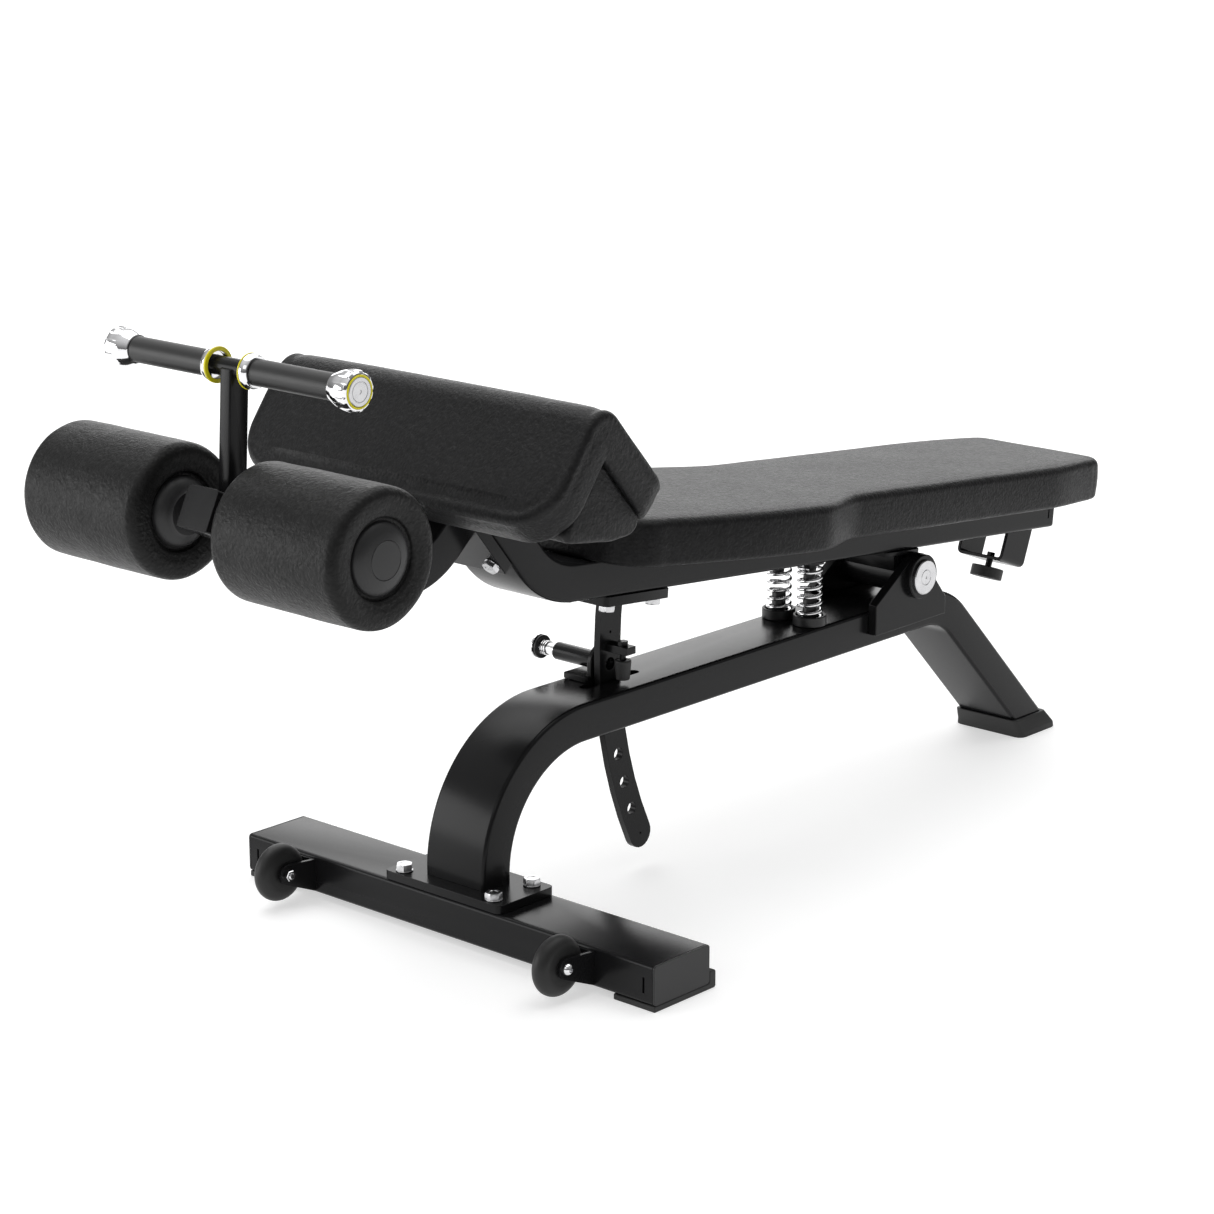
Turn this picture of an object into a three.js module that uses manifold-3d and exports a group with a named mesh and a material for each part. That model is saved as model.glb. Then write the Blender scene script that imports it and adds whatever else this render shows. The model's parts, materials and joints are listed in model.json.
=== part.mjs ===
// Decline sit-up bench: floor frame, tilting seat frame, pads, ankle rollers, hand grips, transport wheels.
// Millimetres, +Z up, +X from the ankle rollers towards the head end, Y across the bench.
import * as THREE from 'three';
import Module from 'manifold-3d';
import { mergeVertices } from 'three/addons/utils/BufferGeometryUtils.js';

const wasm = await Module();
wasm.setup();

// ---------------------------------------------------------------- driving dimensions
const GAP = 0.3;                 // clearance between touching pieces
const WALL = 3;                  // tube wall
const TUBE_W = 100;              // main tube width across the bench
const TUBE_H = 50;               // main tube depth
const CENTRE_X = 429.5;          // moves the middle of the bench to x = 0

const FOOT_HALF = 347;           // crossfoot half length
const FOOT_Z = 8;                // underside of the crossfoot tube
const FOOT_TOP = FOOT_Z + TUBE_H;
const PLATE_TOP = 69.5;          // top of the base plate

const SPINE_TOP = 268;           // top face of the horizontal spine
const SPINE_BOT = SPINE_TOP - TUBE_H;
const SPINE_X = 50;              // centre of the upright foot of the spine
const SPINE_R = 165;             // centreline radius of the front bend
const SPINE_END = 862;           // where the spine meets the rear leg
const LEG_BEND_X = 929;          // start of the rear bend
const LEG_R = 105;               // centreline radius of the rear bend
const LEG_FOOT_Z = 12;           // cut height of the leg inside its boot

const PIVOT_X = 886.5;
const PIVOT_Z = 303.5;
const PIVOT_R = 10;              // axle radius
const CHEEK_IN = TUBE_W / 2 + GAP;
const CHEEK_OUT = 64;
const BOSS_OUT = 73;

const TILT = THREE.MathUtils.degToRad(5.28);    // slope of the seat frame in its lowest position
const FRAME_X = 250;             // a point on the underside of the seat frame
const FRAME_Z = 398;
const FRAME_END = 985.8;         // rear end, measured along the frame
const FRAME_BEND = -57.2;        // start of the upturned bend, along the frame
const FRAME_R = 115;             // centreline radius of the bend
const FRAME_TURN = THREE.MathUtils.degToRad(45.7);
const FRAME_RISE = 160;          // upturned length before it is trimmed

const PAD_T = 62;                // seat pad thickness
const KNEE_HALF = 262;           // knee pad half width
const KNEE_T = 48;               // knee pad wing thickness

const HOLE_R = 578.6;            // selector hole circle radius about the pivot
const HOLE_STEP = THREE.MathUtils.degToRad(4.185);
const HOLE_0 = THREE.MathUtils.degToRad(1.25);  // angle of the hole at the pin in the lowest position
const SELECTOR_W = 40;
const SELECTOR_T = 10;
const PIN_X = PIVOT_X - HOLE_R * Math.cos(HOLE_0);
const PIN_Z = PIVOT_Z - HOLE_R * Math.sin(HOLE_0);

const SPRING_X = 690;
const SPRING_Y = 27;
const ROLLER_X = -334;
const ROLLER_Z = 595.3;
const ROLLER_R = 77.5;
const ROLLER_IN = 66;
const ROLLER_OUT = 257.4;
const ARM_W = 50;
const BAR_X = -309;
const BAR_Z = 765.5;
const WHEEL_X = -48.3;
const WHEEL_Y = 240;
const WHEEL_Z = 45.2;
const WHEEL_R = 37.5;

// ---------------------------------------------------------------- materials
const steel = { color: 0x141416, roughness: 0.38, metalness: 0.35 };
const rubber = { color: 0x161616, roughness: 0.8, metalness: 0.0 };
const vinyl = { color: 0x1b1b1b, roughness: 0.62, metalness: 0.0 };
const foam = { color: 0x181818, roughness: 0.7, metalness: 0.0 };
const chrome = { color: 0xc8c8cc, roughness: 0.16, metalness: 1.0 };
const zinc = { color: 0xb4b6b8, roughness: 0.32, metalness: 1.0 };
const plastic = { color: 0x202022, roughness: 0.45, metalness: 0.0 };

// ---------------------------------------------------------------- helpers
const group = new THREE.Group();
group.name = 'decline_sit_up_bench';

function volume(pos, idx) {
  let v = 0;
  for (let i = 0; i < idx.length; i += 3) {
    const [a, b, c] = [idx[i] * 3, idx[i + 1] * 3, idx[i + 2] * 3];
    v += pos[a] * (pos[b + 1] * pos[c + 2] - pos[b + 2] * pos[c + 1]);
    v -= pos[a + 1] * (pos[b] * pos[c + 2] - pos[b + 2] * pos[c]);
    v += pos[a + 2] * (pos[b] * pos[c + 1] - pos[b + 1] * pos[c]);
  }
  return v;
}

// a three.js geometry as a closed solid that can be joined and cut
function solid(geo) {
  const g = geo.clone();
  for (const name of Object.keys(g.attributes)) {
    if (name !== 'position') g.deleteAttribute(name);
  }
  const m = mergeVertices(g, 1e-4);
  const pos = new Float32Array(m.attributes.position.array);
  const raw = m.index.array;
  const idx = [];
  for (let i = 0; i < raw.length; i += 3) {
    const [a, b, c] = [raw[i], raw[i + 1], raw[i + 2]];
    if (a !== b && b !== c && a !== c) idx.push(a, b, c);
  }
  if (volume(pos, idx) < 0) {
    for (let i = 0; i < idx.length; i += 3) [idx[i], idx[i + 1]] = [idx[i + 1], idx[i]];
  }
  const mesh = new wasm.Mesh({ numProp: 3, vertProperties: pos, triVerts: new Uint32Array(idx) });
  return new wasm.Manifold(mesh);
}

function unite(...geos) {
  return geos.map((g) => (g.isBufferGeometry ? solid(g) : g)).reduce((a, b) => a.add(b));
}

function cut(body, ...tools) {
  let m = body.isBufferGeometry ? solid(body) : body;
  for (const t of tools) m = m.subtract(t.isBufferGeometry ? solid(t) : t);
  return m;
}

function add(name, body, look) {
  const out = (body.isBufferGeometry ? solid(body) : body).getMesh();
  const geo = new THREE.BufferGeometry();
  geo.setAttribute('position', new THREE.BufferAttribute(new Float32Array(out.vertProperties), 3));
  geo.setIndex(new THREE.BufferAttribute(new Uint32Array(out.triVerts), 1));
  geo.translate(-CENTRE_X, 0, 0);
  const flat = geo.toNonIndexed();
  flat.computeVertexNormals();
  const mesh = new THREE.Mesh(flat, new THREE.MeshStandardMaterial({ ...look }));
  mesh.name = name;
  group.add(mesh);
}

// outline given as [x, z] pairs, extruded across the bench from y0 to y1
function prismY(points, y0, y1) {
  const shape = new THREE.Shape(points.map(([x, z]) => new THREE.Vector2(x, z)));
  const g = new THREE.ExtrudeGeometry(shape, { depth: Math.abs(y1 - y0), bevelEnabled: false });
  return g.rotateX(Math.PI / 2).translate(0, Math.max(y0, y1), 0);
}

// outline given as [x, y] pairs, extruded upwards from z0 to z1
function prismZ(points, z0, z1) {
  const shape = new THREE.Shape(points.map(([x, y]) => new THREE.Vector2(x, y)));
  return new THREE.ExtrudeGeometry(shape, { depth: z1 - z0, bevelEnabled: false }).translate(0, 0, z0);
}

function box(x0, x1, y0, y1, z0, z1) {
  const g = new THREE.BoxGeometry(x1 - x0, y1 - y0, z1 - z0);
  return g.translate((x0 + x1) / 2, (y0 + y1) / 2, (z0 + z1) / 2);
}

// round bar between two points
function rod(p, q, r, seg = 24) {
  const a = new THREE.Vector3(...p);
  const b = new THREE.Vector3(...q);
  const d = b.clone().sub(a);
  const g = new THREE.CylinderGeometry(r, r, d.length(), seg);
  const turn = new THREE.Quaternion().setFromUnitVectors(new THREE.Vector3(0, 1, 0), d.clone().normalize());
  return g.applyQuaternion(turn).translate((a.x + b.x) / 2, (a.y + b.y) / 2, (a.z + b.z) / 2);
}

const rodY = (x, z, y0, y1, r, seg) => rod([x, y0, z], [x, y1, z], r, seg);
const rodZ = (x, y, z0, z1, r, seg) => rod([x, y, z0], [x, y, z1], r, seg);

// turned piece: [radius, height] pairs starting and ending on the axis, or a closed loop
function turned(profile, seg = 24) {
  return new THREE.LatheGeometry(profile.map(([r, h]) => new THREE.Vector2(r, h)), seg);
}

const turnedY = (profile, x, z, seg) => turned(profile, seg).translate(x, 0, z);
const turnedZ = (profile, x, y, seg) => turned(profile, seg).rotateX(Math.PI / 2).translate(x, y, 0);

function arc(cx, cz, r, a0, a1, n) {
  const pts = [];
  for (let i = 0; i <= n; i++) {
    const a = a0 + ((a1 - a0) * i) / n;
    pts.push([cx + r * Math.cos(a), cz + r * Math.sin(a)]);
  }
  return pts;
}

function roundedRect(x0, x1, y0, y1, r, n = 2) {
  const q = Math.PI / 2;
  return [
    ...arc(x1 - r, y0 + r, r, -q, 0, n),
    ...arc(x1 - r, y1 - r, r, 0, q, n),
    ...arc(x0 + r, y1 - r, r, q, 2 * q, n),
    ...arc(x0 + r, y0 + r, r, 2 * q, 3 * q, n),
  ];
}

// smallest convex outline round a set of points
function hull(points) {
  const p = [...points].sort((a, b) => a[0] - b[0] || a[1] - b[1]);
  const side = (o, a, b) => (a[0] - o[0]) * (b[1] - o[1]) - (a[1] - o[1]) * (b[0] - o[0]);
  const half = (list) => {
    const out = [];
    for (const q of list) {
      while (out.length > 1 && side(out[out.length - 2], out[out.length - 1], q) <= 0) out.pop();
      out.push(q);
    }
    out.pop();
    return out;
  };
  return [...half(p), ...half(p.reverse())];
}

// closed skin through rings of points that all have the same count
function skin(rings) {
  const n = rings[0].length;
  const pos = rings.flat(2);
  const idx = [];
  for (let i = 0; i + 1 < rings.length; i++) {
    for (let j = 0; j < n; j++) {
      const [a, b] = [i * n + j, i * n + ((j + 1) % n)];
      idx.push(a, b, b + n, a, b + n, a + n);
    }
  }
  const last = (rings.length - 1) * n;
  for (let j = 1; j + 1 < n; j++) {
    idx.push(0, j + 1, j);
    idx.push(last, last + j, last + j + 1);
  }
  const g = new THREE.BufferGeometry();
  g.setAttribute('position', new THREE.BufferAttribute(new Float32Array(pos), 3));
  g.setIndex(idx);
  return g;
}

// path of [x, z, angle] stations in the middle plane; section of [offset, y] pairs carried along it
function carried(path, section) {
  const at = ([x, z, a]) => section.map(([n, y]) => [x - n * Math.sin(a), y, z + n * Math.cos(a)]);
  return skin(path.map(at));
}

function stretch(path, d) {
  const [x, z, a] = path[0];
  const [p, q, b] = path[path.length - 1];
  return [
    [x - d * Math.cos(a), z - d * Math.sin(a), a],
    ...path,
    [p + d * Math.cos(b), q + d * Math.sin(b), b],
  ];
}

// bends: centre, radius, start heading, end heading, which side the centre lies on
function bend(cx, cz, r, h0, h1, n) {
  const s = Math.sign(h1 - h0);
  const out = [];
  for (let i = 0; i <= n; i++) {
    const h = h0 + ((h1 - h0) * i) / n;
    out.push([cx + s * r * Math.sin(h), cz - s * r * Math.cos(h), h]);
  }
  return out;
}

function tube(path, w, h, r = 5, wall = WALL) {
  const outer = carried(path, roundedRect(-h / 2, h / 2, -w / 2, w / 2, r));
  const [a, b] = [h / 2 - wall, w / 2 - wall];
  const inner = carried(stretch(path, 5), roundedRect(-a, a, -b, b, Math.max(r - wall, 1), 1));
  return cut(outer, inner);
}

// from seat-frame coordinates (along, up from the underside) to the bench
const onFrame = (g) => g.rotateY(TILT).translate(FRAME_X, 0, FRAME_Z);
const Q = Math.PI / 2;

function hexBolt(x, y, zTop, shank, across = 19, head = 8, dir = 1) {
  const k = new THREE.CylinderGeometry(across / 1.732, across / 1.732, head, 6).rotateX(Q);
  k.translate(0, 0, (dir * head) / 2);
  const s = rodZ(0, 0, -dir * shank, dir * 1, 5.8, 8);
  const w = rodZ(0, 0, 0, dir * 1.6, across * 0.58, 14);
  const m = unite(k.translate(0, 0, dir * 1.5), s, w);
  return m.translate([x, y, zTop]);
}

// ================================================================ floor frame
// crossfoot with clip slots near both ends
const footSlots = [];
for (const s of [-1, 1]) footSlots.push(box(-2, 6, s * 333 - 1.6, s * 333 + 1.6, 21, 41));
const boltXs = [15, 83];
const boltY = 77;
const baseHoles = [];
for (const x of boltXs) {
  for (const s of [-1, 1]) baseHoles.push(rodZ(x, s * boltY, FOOT_TOP - 8, PLATE_TOP + 2, 6.3, 12));
}
const footPath = roundedRect(0, 100, FOOT_Z, FOOT_TOP, 4.5, 3);
const footBore = roundedRect(WALL, 100 - WALL, FOOT_Z + WALL, FOOT_TOP - WALL, 2, 1);
const footTube = cut(
  prismY(footPath, -FOOT_HALF, FOOT_HALF),
  prismY(footBore, -FOOT_HALF - 5, FOOT_HALF + 5),
  ...footSlots,
  ...baseHoles,
);
add('front_crossfoot', footTube, steel);

for (const [tag, s] of [['right', -1], ['left', 1]]) {
  const face = prismY(footPath, s * (FOOT_HALF + GAP), s * 350);
  const inset = WALL + GAP;
  const bore = roundedRect(inset, 100 - inset, FOOT_Z + inset, FOOT_TOP - inset, 2, 1);
  const plug = prismY(bore, s * 338, s * 348);
  add(`foot_cap_${tag}`, unite(face, plug), plastic);
  const lip = [
    [1, 0],
    [110, 0],
    [112, 2],
    [112, 21],
    [110, 23],
    [100 + GAP, 23],
    [100 + GAP, FOOT_Z - GAP],
    [1, FOOT_Z - GAP],
  ];
  add(`foot_pad_${tag}`, prismY(lip, s * 285, s * 350), rubber);
}

const basePlate = prismZ(roundedRect(1, 100, -100, 100, 8, 3), FOOT_TOP + GAP, PLATE_TOP);
add('base_plate', cut(basePlate, ...baseHoles), steel);
let boltNo = 1;
for (const x of boltXs) {
  for (const s of [-1, 1]) add(`base_bolt_${boltNo++}`, hexBolt(x, s * boltY, PLATE_TOP + GAP, 20), zinc);
}

// spine: up from the base plate, round the front bend, along to the rear leg
const spinePath = [
  [SPINE_X, PLATE_TOP + GAP, Q],
  ...bend(SPINE_X + SPINE_R, SPINE_TOP - TUBE_H / 2 - SPINE_R, SPINE_R, Q, 0, 10),
  [SPINE_END, SPINE_TOP - TUBE_H / 2, 0],
];
const slotShape = [...arc(358, 0, 8, -Q, Q, 6), ...arc(266, 0, 8, Q, 3 * Q, 6)];
const spineSlot = prismZ(slotShape, SPINE_BOT - 5, SPINE_TOP + 5);
add('spine_tube', cut(tube(spinePath, TUBE_W, TUBE_H), spineSlot), steel);

// rear leg: bends down to 45 degrees and is cut level inside the boot
const legMid = SPINE_TOP - TUBE_H / 2;
const legRun = 320;
const legEnd = [
  LEG_BEND_X + LEG_R * Math.sin(Math.PI / 4) + legRun * Math.SQRT1_2,
  legMid - LEG_R * (1 - Math.cos(Math.PI / 4)) - legRun * Math.SQRT1_2,
  -Math.PI / 4,
];
const legPath = [
  [SPINE_END + GAP, legMid, 0],
  ...bend(LEG_BEND_X, legMid - LEG_R, LEG_R, 0, -Math.PI / 4, 6),
  legEnd,
];
const belowLeg = box(1000, 1400, -80, 80, -200, LEG_FOOT_Z);
add('rear_leg', cut(tube(legPath, TUBE_W, TUBE_H), belowLeg), steel);

// boot: tapered rubber block with a pocket for the leg
const bootRing = (x0, x1, y, z, r) => roundedRect(x0, x1, -y, y, r, 3).map(([a, b]) => [a, b, z]);
const boot = skin([
  bootRing(1157, 1248, 61, 0, 12),
  bootRing(1157, 1247, 60, 8, 11),
  bootRing(1148, 1229, 54.5, 27, 7),
  bootRing(1149, 1228, 53.5, 28, 6),
]);
const legPocket = cut(
  carried(legPath, roundedRect(-TUBE_H / 2 - GAP, TUBE_H / 2 + GAP, -CHEEK_IN, CHEEK_IN, 5)),
  box(1000, 1400, -80, 80, -200, LEG_FOOT_Z - GAP),
);
add('rear_boot', cut(boot, legPocket), rubber);

// pivot cheeks with bosses, one each side of the spine and leg
const cheekShape = hull([
  [791, 236],
  [791, 279],
  [952, 236],
  [952, 262],
  ...arc(PIVOT_X, PIVOT_Z, 32, 0, 4 * Q, 24),
]);
for (const [tag, s] of [['right', -1], ['left', 1]]) {
  const boss = rodY(PIVOT_X, PIVOT_Z, s * 60, s * BOSS_OUT, 31.5, 28);
  const bore = rodY(PIVOT_X, PIVOT_Z, -90, 90, PIVOT_R + GAP, 20);
  const cheek = prismY(cheekShape, s * CHEEK_IN, s * CHEEK_OUT);
  add(`pivot_cheek_${tag}`, cut(unite(cheek, boss), bore), steel);
}
const capFace = BOSS_OUT + GAP;
const axle = turnedY(
  [
    [0, -capFace - 4], [10, -capFace - 4], [10, -capFace - 3.4], [11, -capFace - 3.4], [11, -capFace - 4],
    [23.5, -capFace - 4], [24.5, -capFace - 3], [24.5, -capFace], [PIVOT_R, -capFace],
    [PIVOT_R, BOSS_OUT - 1], [0, BOSS_OUT - 1],
  ],
  PIVOT_X, PIVOT_Z, 24,
);
add('pivot_axle', axle, zinc);
const capLeft = turnedY(
  [[0, capFace], [24.5, capFace], [24.5, capFace + 3], [23.5, capFace + 4], [0, capFace + 4]],
  PIVOT_X, PIVOT_Z, 24,
);
add('pivot_cap_left', capLeft, zinc);

// latch bracket and barrel for the pull pin
const latchFoot = SPINE_TOP + GAP;
const latchUp = [[285, latchFoot], [333, latchFoot], ...arc(PIN_X + 1, PIN_Z, 24, 0, 2 * Q, 12)];
const latchBase = prismZ(roundedRect(277, 341, 8, 49, 3, 2), latchFoot, SPINE_TOP + 8);
const latch = cut(
  unite(prismY(latchUp, 8, 14.5), latchBase, rodY(PIN_X, PIN_Z, 14, 86, 11.6, 24)),
  rodY(PIN_X, PIN_Z, 0, 95, 8.1, 20),
);
add('latch_bracket', latch, steel);
const ribs = [];
for (let i = 0; i < 3; i++) {
  const y = 101 + i * 3.5;
  ribs.push([8.4, y], [9.6, y + 0.8], [9.6, y + 2.6]);
}
const pullPin = turnedY(
  [
    [0, 5.7], [6.2, 5.7], [7.7, 8.7], [7.7, 101], ...ribs,
    [8.4, 112], [15.5, 112], [15.5, 116], [12.5, 116.5], [12.5, 118.5], [15.5, 119],
    [15.5, 121.5], [0, 121.5],
  ],
  PIN_X, PIN_Z, 18,
);
add('pull_pin', pullPin, chrome);

// return springs in their cups
function coil(x, y, z0, z1, r, wire, turns) {
  const perTurn = 12;
  const n = turns * perTurn;
  const rings = [];
  const rise = (z1 - z0) / (2 * Math.PI * turns);
  for (let i = 0; i <= n; i++) {
    const a = (2 * Math.PI * i) / perTurn;
    const [c, s] = [Math.cos(a), Math.sin(a)];
    const up = new THREE.Vector3(-s * rise, c * rise, -r).normalize().negate();
    const ring = [];
    for (let j = 0; j < 5; j++) {
      const b = (2 * Math.PI * j) / 5;
      const [o, k] = [wire * Math.cos(b), wire * Math.sin(b)];
      ring.push([
        x + r * c + o * c + k * up.x,
        y + r * s + o * s + k * up.y,
        z0 + ((z1 - z0) * i) / n + k * up.z,
      ]);
    }
    rings.push(ring);
  }
  return skin(rings);
}
for (const [tag, s] of [['right', -1], ['left', 1]]) {
  const z = SPINE_TOP + GAP;
  const cup = turnedZ(
    [
      [0, z], [23, z], [23, z + 14], [19, z + 14], [19, z + 3],
      [9.5, z + 3], [9.5, z + 38], [8, z + 40], [0, z + 40],
    ],
    SPRING_X, s * SPRING_Y, 20,
  );
  add(`spring_cup_${tag}`, cup, plastic);
  add(`spring_${tag}`, coil(SPRING_X, s * SPRING_Y, SPINE_TOP + 6.1, 349, 15.6, 2.3, 7), chrome);
}

// transport wheels on the roller side of the crossfoot
for (const [tag, s] of [['right', -1], ['left', 1]]) {
  const y = s * WHEEL_Y;
  const cheek = hull([[-4, 12], [-4, 54], ...arc(WHEEL_X, WHEEL_Z, 13, 0, 4 * Q, 20)]);
  const bracket = cut(
    unite(
      box(-4.3, -GAP, y - 17, y + 17, 12, 54),
      prismY(cheek, y - 17, y - 13),
      prismY(cheek, y + 13, y + 17),
    ),
    rodY(WHEEL_X, WHEEL_Z, y - 30, y + 30, 4.4, 16),
  );
  add(`wheel_bracket_${tag}`, bracket, steel);
  const round = arc(WHEEL_R - 12, 0, 12, -Q, Q, 7);
  const wheel = turnedY(
    [[4.4, y - 12.4], [14, y - 12.4], [16, y - 11], ...round.map(([r, h]) => [r, y + h]),
      [16, y + 11], [14, y + 12.4], [4.4, y + 12.4], [4.4, y - 12.4]],
    WHEEL_X, WHEEL_Z, 22,
  );
  add(`wheel_${tag}`, wheel, rubber);
  const head = s * 17 + s * GAP;
  const pin = turnedY(
    [
      [0, head + s * 6], [3.5, head + s * 6], [7, head + s * 3], [7, head],
      [4, head], [4, -s * 25], [0, -s * 25],
    ]
      .map(([r, h]) => [r, y + h]),
    WHEEL_X, WHEEL_Z, 16,
  );
  const nut = rodY(WHEEL_X, WHEEL_Z, y - s * 17.3, y - s * 23.5, 7.5, 6);
  add(`wheel_bolt_${tag}`, unite(pin, nut), chrome);
}

// ================================================================ tilting seat frame
const framePath = [
  [FRAME_END, TUBE_H / 2, 2 * Q],
  ...bend(FRAME_BEND, TUBE_H / 2 + FRAME_R, FRAME_R, 2 * Q, 2 * Q - FRAME_TURN, 6),
];
const [bx, bz, bh] = framePath[framePath.length - 1];
framePath.push([bx + FRAME_RISE * Math.cos(bh), bz + FRAME_RISE * Math.sin(bh), bh]);
const frameSlot = box(FRAME_END - 12, FRAME_END - 9, -60, 60, 14, 36);
const frameRaw = tube(framePath, TUBE_W, TUBE_H);
const tiltDeg = THREE.MathUtils.radToDeg(TILT);
const lift = (m) => m.rotate([0, tiltDeg, 0]).translate([FRAME_X, 0, FRAME_Z]);

// the arm leaves a plate under the upturned frame and bows down and up to the roller axle
const upHeading = 2 * Q - FRAME_TURN - TILT;
const flangeAt = (g) => g.rotateY(-(upHeading + Q)).translate(79, 0, 477);
const ARM_END = THREE.MathUtils.degToRad(180 - 26);
const ARM_START = THREE.MathUtils.degToRad(180 + 41);
const armR = 105;
const armC = [-70.2, 588];
const armBend = bend(armC[0], armC[1], armR, ARM_START, ARM_END, 8);
const armLead = [
  armBend[0][0] - 48 * Math.cos(ARM_START),
  armBend[0][1] - 48 * Math.sin(ARM_START),
  ARM_START,
];
const armTail = [-370, 617, ARM_END];
const armPath = [armLead, ...armBend, armTail];
const armRoom = cut(
  carried(armPath, roundedRect(-ARM_W / 2 - 1.5, ARM_W / 2 + 1.5, -ARM_W / 2 - 1.5, ARM_W / 2 + 1.5, 5)),
  flangeAt(box(-90, GAP, -90, 90, -190, 140)),
);

// the seat plate of the knee pad closes the upturned end
const KNEE_SLOPE = THREE.MathUtils.degToRad(8.5);
const kneeAt = (g) => g.rotateY(KNEE_SLOPE).translate(39, 0, 542.5);
const aboveKnee = kneeAt(box(-300, 300, -200, 200, -5.6, 300));
const kneePlate = kneeAt(prismZ(roundedRect(-80, 74, -75, 75, 8, 3), -6, -GAP));
const frameTube = cut(cut(lift(cut(frameRaw, frameSlot)), aboveKnee).add(solid(kneePlate)), armRoom);
add('seat_frame', frameTube, steel);

const capOuter = roundedRect(GAP, TUBE_H - GAP, -TUBE_W / 2 + GAP, TUBE_W / 2 - GAP, 4.5, 3);
const endFace = prismZ(capOuter, 0, 3).rotateY(Q).translate(0, 0, TUBE_H);
const endPlug = prismZ(roundedRect(WALL + GAP, TUBE_H - WALL - GAP, -46.5, 46.5, 2, 1), -8, 1);
const endCap = unite(endFace, endPlug.rotateY(Q).translate(0, 0, TUBE_H));
add('seat_frame_cap', lift(endCap.translate([FRAME_END + GAP, 0, 0])), plastic);

// selector: curved plate with holes on a circle about the pivot, under a bolted head plate
const holeAt = (k) => [
  PIVOT_X - HOLE_R * Math.cos(HOLE_0 + k * HOLE_STEP),
  PIVOT_Z - HOLE_R * Math.sin(HOLE_0 + k * HOLE_STEP),
];
const tipAngle = HOLE_0 + 6 * HOLE_STEP;
const topAngle = HOLE_0 - 2.4 * HOLE_STEP;
const side = (r, a0, a1) => arc(PIVOT_X, PIVOT_Z, r, 2 * Q + a0, 2 * Q + a1, 9);
const [tx, tz] = holeAt(6);
const selectorShape = [
  ...side(HOLE_R + SELECTOR_W / 2, topAngle, tipAngle),
  ...arc(tx, tz, SELECTOR_W / 2, 2 * Q + tipAngle, 4 * Q + tipAngle, 10).slice(1, -1),
  ...side(HOLE_R - SELECTOR_W / 2, tipAngle, topAngle),
];
const selectorHoles = [];
for (let k = 0; k < 6; k++) selectorHoles.push(rodY(...holeAt(k), -20, 20, 8.4, 16));
selectorHoles.push(rodY(...holeAt(-1), -20, 20, 1.8, 8), rodY(...holeAt(6), -20, 20, 1.6, 8));
const headPlate = lift(solid(prismZ(roundedRect(2, 124, -50, 50, 6, 3), -13, -GAP)));
const headBore = [];
for (const x of [20, 107]) {
  for (const s of [-1, 1]) headBore.push(onFrame(rodZ(x, s * 35, -30, 12, 6.3, 12)));
}
const selector = cut(prismY(selectorShape, -SELECTOR_T / 2, SELECTOR_T / 2), ...selectorHoles);
const aboveHead = lift(solid(box(-200, 300, -40, 40, -8, 300)));
add('selector', cut(cut(selector, aboveHead).add(headPlate), ...headBore), steel);
let headNo = 1;
for (const x of [20, 107]) {
  for (const s of [-1, 1]) {
    add(`selector_bolt_${headNo++}`, lift(hexBolt(x, s * 35, -13 - GAP, 11, 19, 7, -1)), zinc);
  }
}

// stop bar on the selector: a bar, a vertical screw and a tapered rubber
const STOP_Y = -26;
const stopX = PIN_X + 1;
const stopBar = unite(
  box(stopX - 9, stopX + 9, -40, -SELECTOR_T / 2 - GAP, 309, 319),
  rodZ(stopX, STOP_Y, 297, 324, 3.9, 16),
  rodZ(stopX, STOP_Y, 319, 325, 7, 6),
);
add('stop_bar', stopBar, steel);
const stopRubber = turnedZ(
  [[0, 274], [8, 274], [9, 275], [11, 299], [10.2, 300], [4.2, 300], [4.2, 296.5], [0, 296.5]],
  stopX, STOP_Y, 24,
);
add('stop_rubber', stopRubber, rubber);

// pivot hub with its saddle under the seat frame
const hubSaddle = lift(solid(prismZ(roundedRect(583, 661, -50, 50, 6, 3), -6, -GAP)));
const hubWeb = prismY([[858, 312], [858, 338], [910, 333], [914, 312]], -42, 42);
const hub = cut(
  unite(rodY(PIVOT_X, PIVOT_Z, -49.6, 49.6, 28, 28), hubWeb, hubSaddle),
  rodY(PIVOT_X, PIVOT_Z, -60, 60, PIVOT_R + GAP, 24),
);
add('pivot_hub', hub, steel);

// upper spring guides hang from the seat frame
const guideAt = (SPRING_X - FRAME_X) / Math.cos(TILT);
const guides = [-1, 1].map((s) => onFrame(
  turnedZ([[0, -GAP], [19, -GAP], [19, -3], [9, -5], [8, -28], [0, -28]], guideAt, s * SPRING_Y, 16),
));
const guideBar = onFrame(box(guideAt - 12, guideAt + 12, -SPRING_Y, SPRING_Y, -2.6, -GAP));
add('spring_guide', unite(...guides, guideBar), plastic);

// head-end stop: bent bracket, screw and rubber disc
const LEAN = THREE.MathUtils.degToRad(21);
const stopPlace = (g) => g.rotateY(LEAN).translate(1148, 0, 264.5);
const underFrame = lift(solid(box(600, 1100, -100, 100, -GAP, 200)));
const bracketOuter = stopPlace(prismZ(roundedRect(0, 90, -40, 40, 8, 3), -30, 30).rotateY(-Q));
const bracketInner = stopPlace(prismZ(roundedRect(5, 120, -35, 35, 3, 2), -40, 40).rotateY(-Q));
const bracketBore = stopPlace(rodZ(0, 0, -10, 20, 5.2, 16));
add('end_bracket', cut(bracketOuter, bracketInner, bracketBore, underFrame), steel);
const discLow = -26;
const discTop = discLow + 16;
const endScrew = unite(
  stopPlace(rodZ(0, 0, discTop - 3.7, 12, 4.9, 16)),
  stopPlace(rodZ(0, 0, 5 + GAP, 12, 6.4, 6)),
);
add('end_screw', endScrew, steel);
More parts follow.
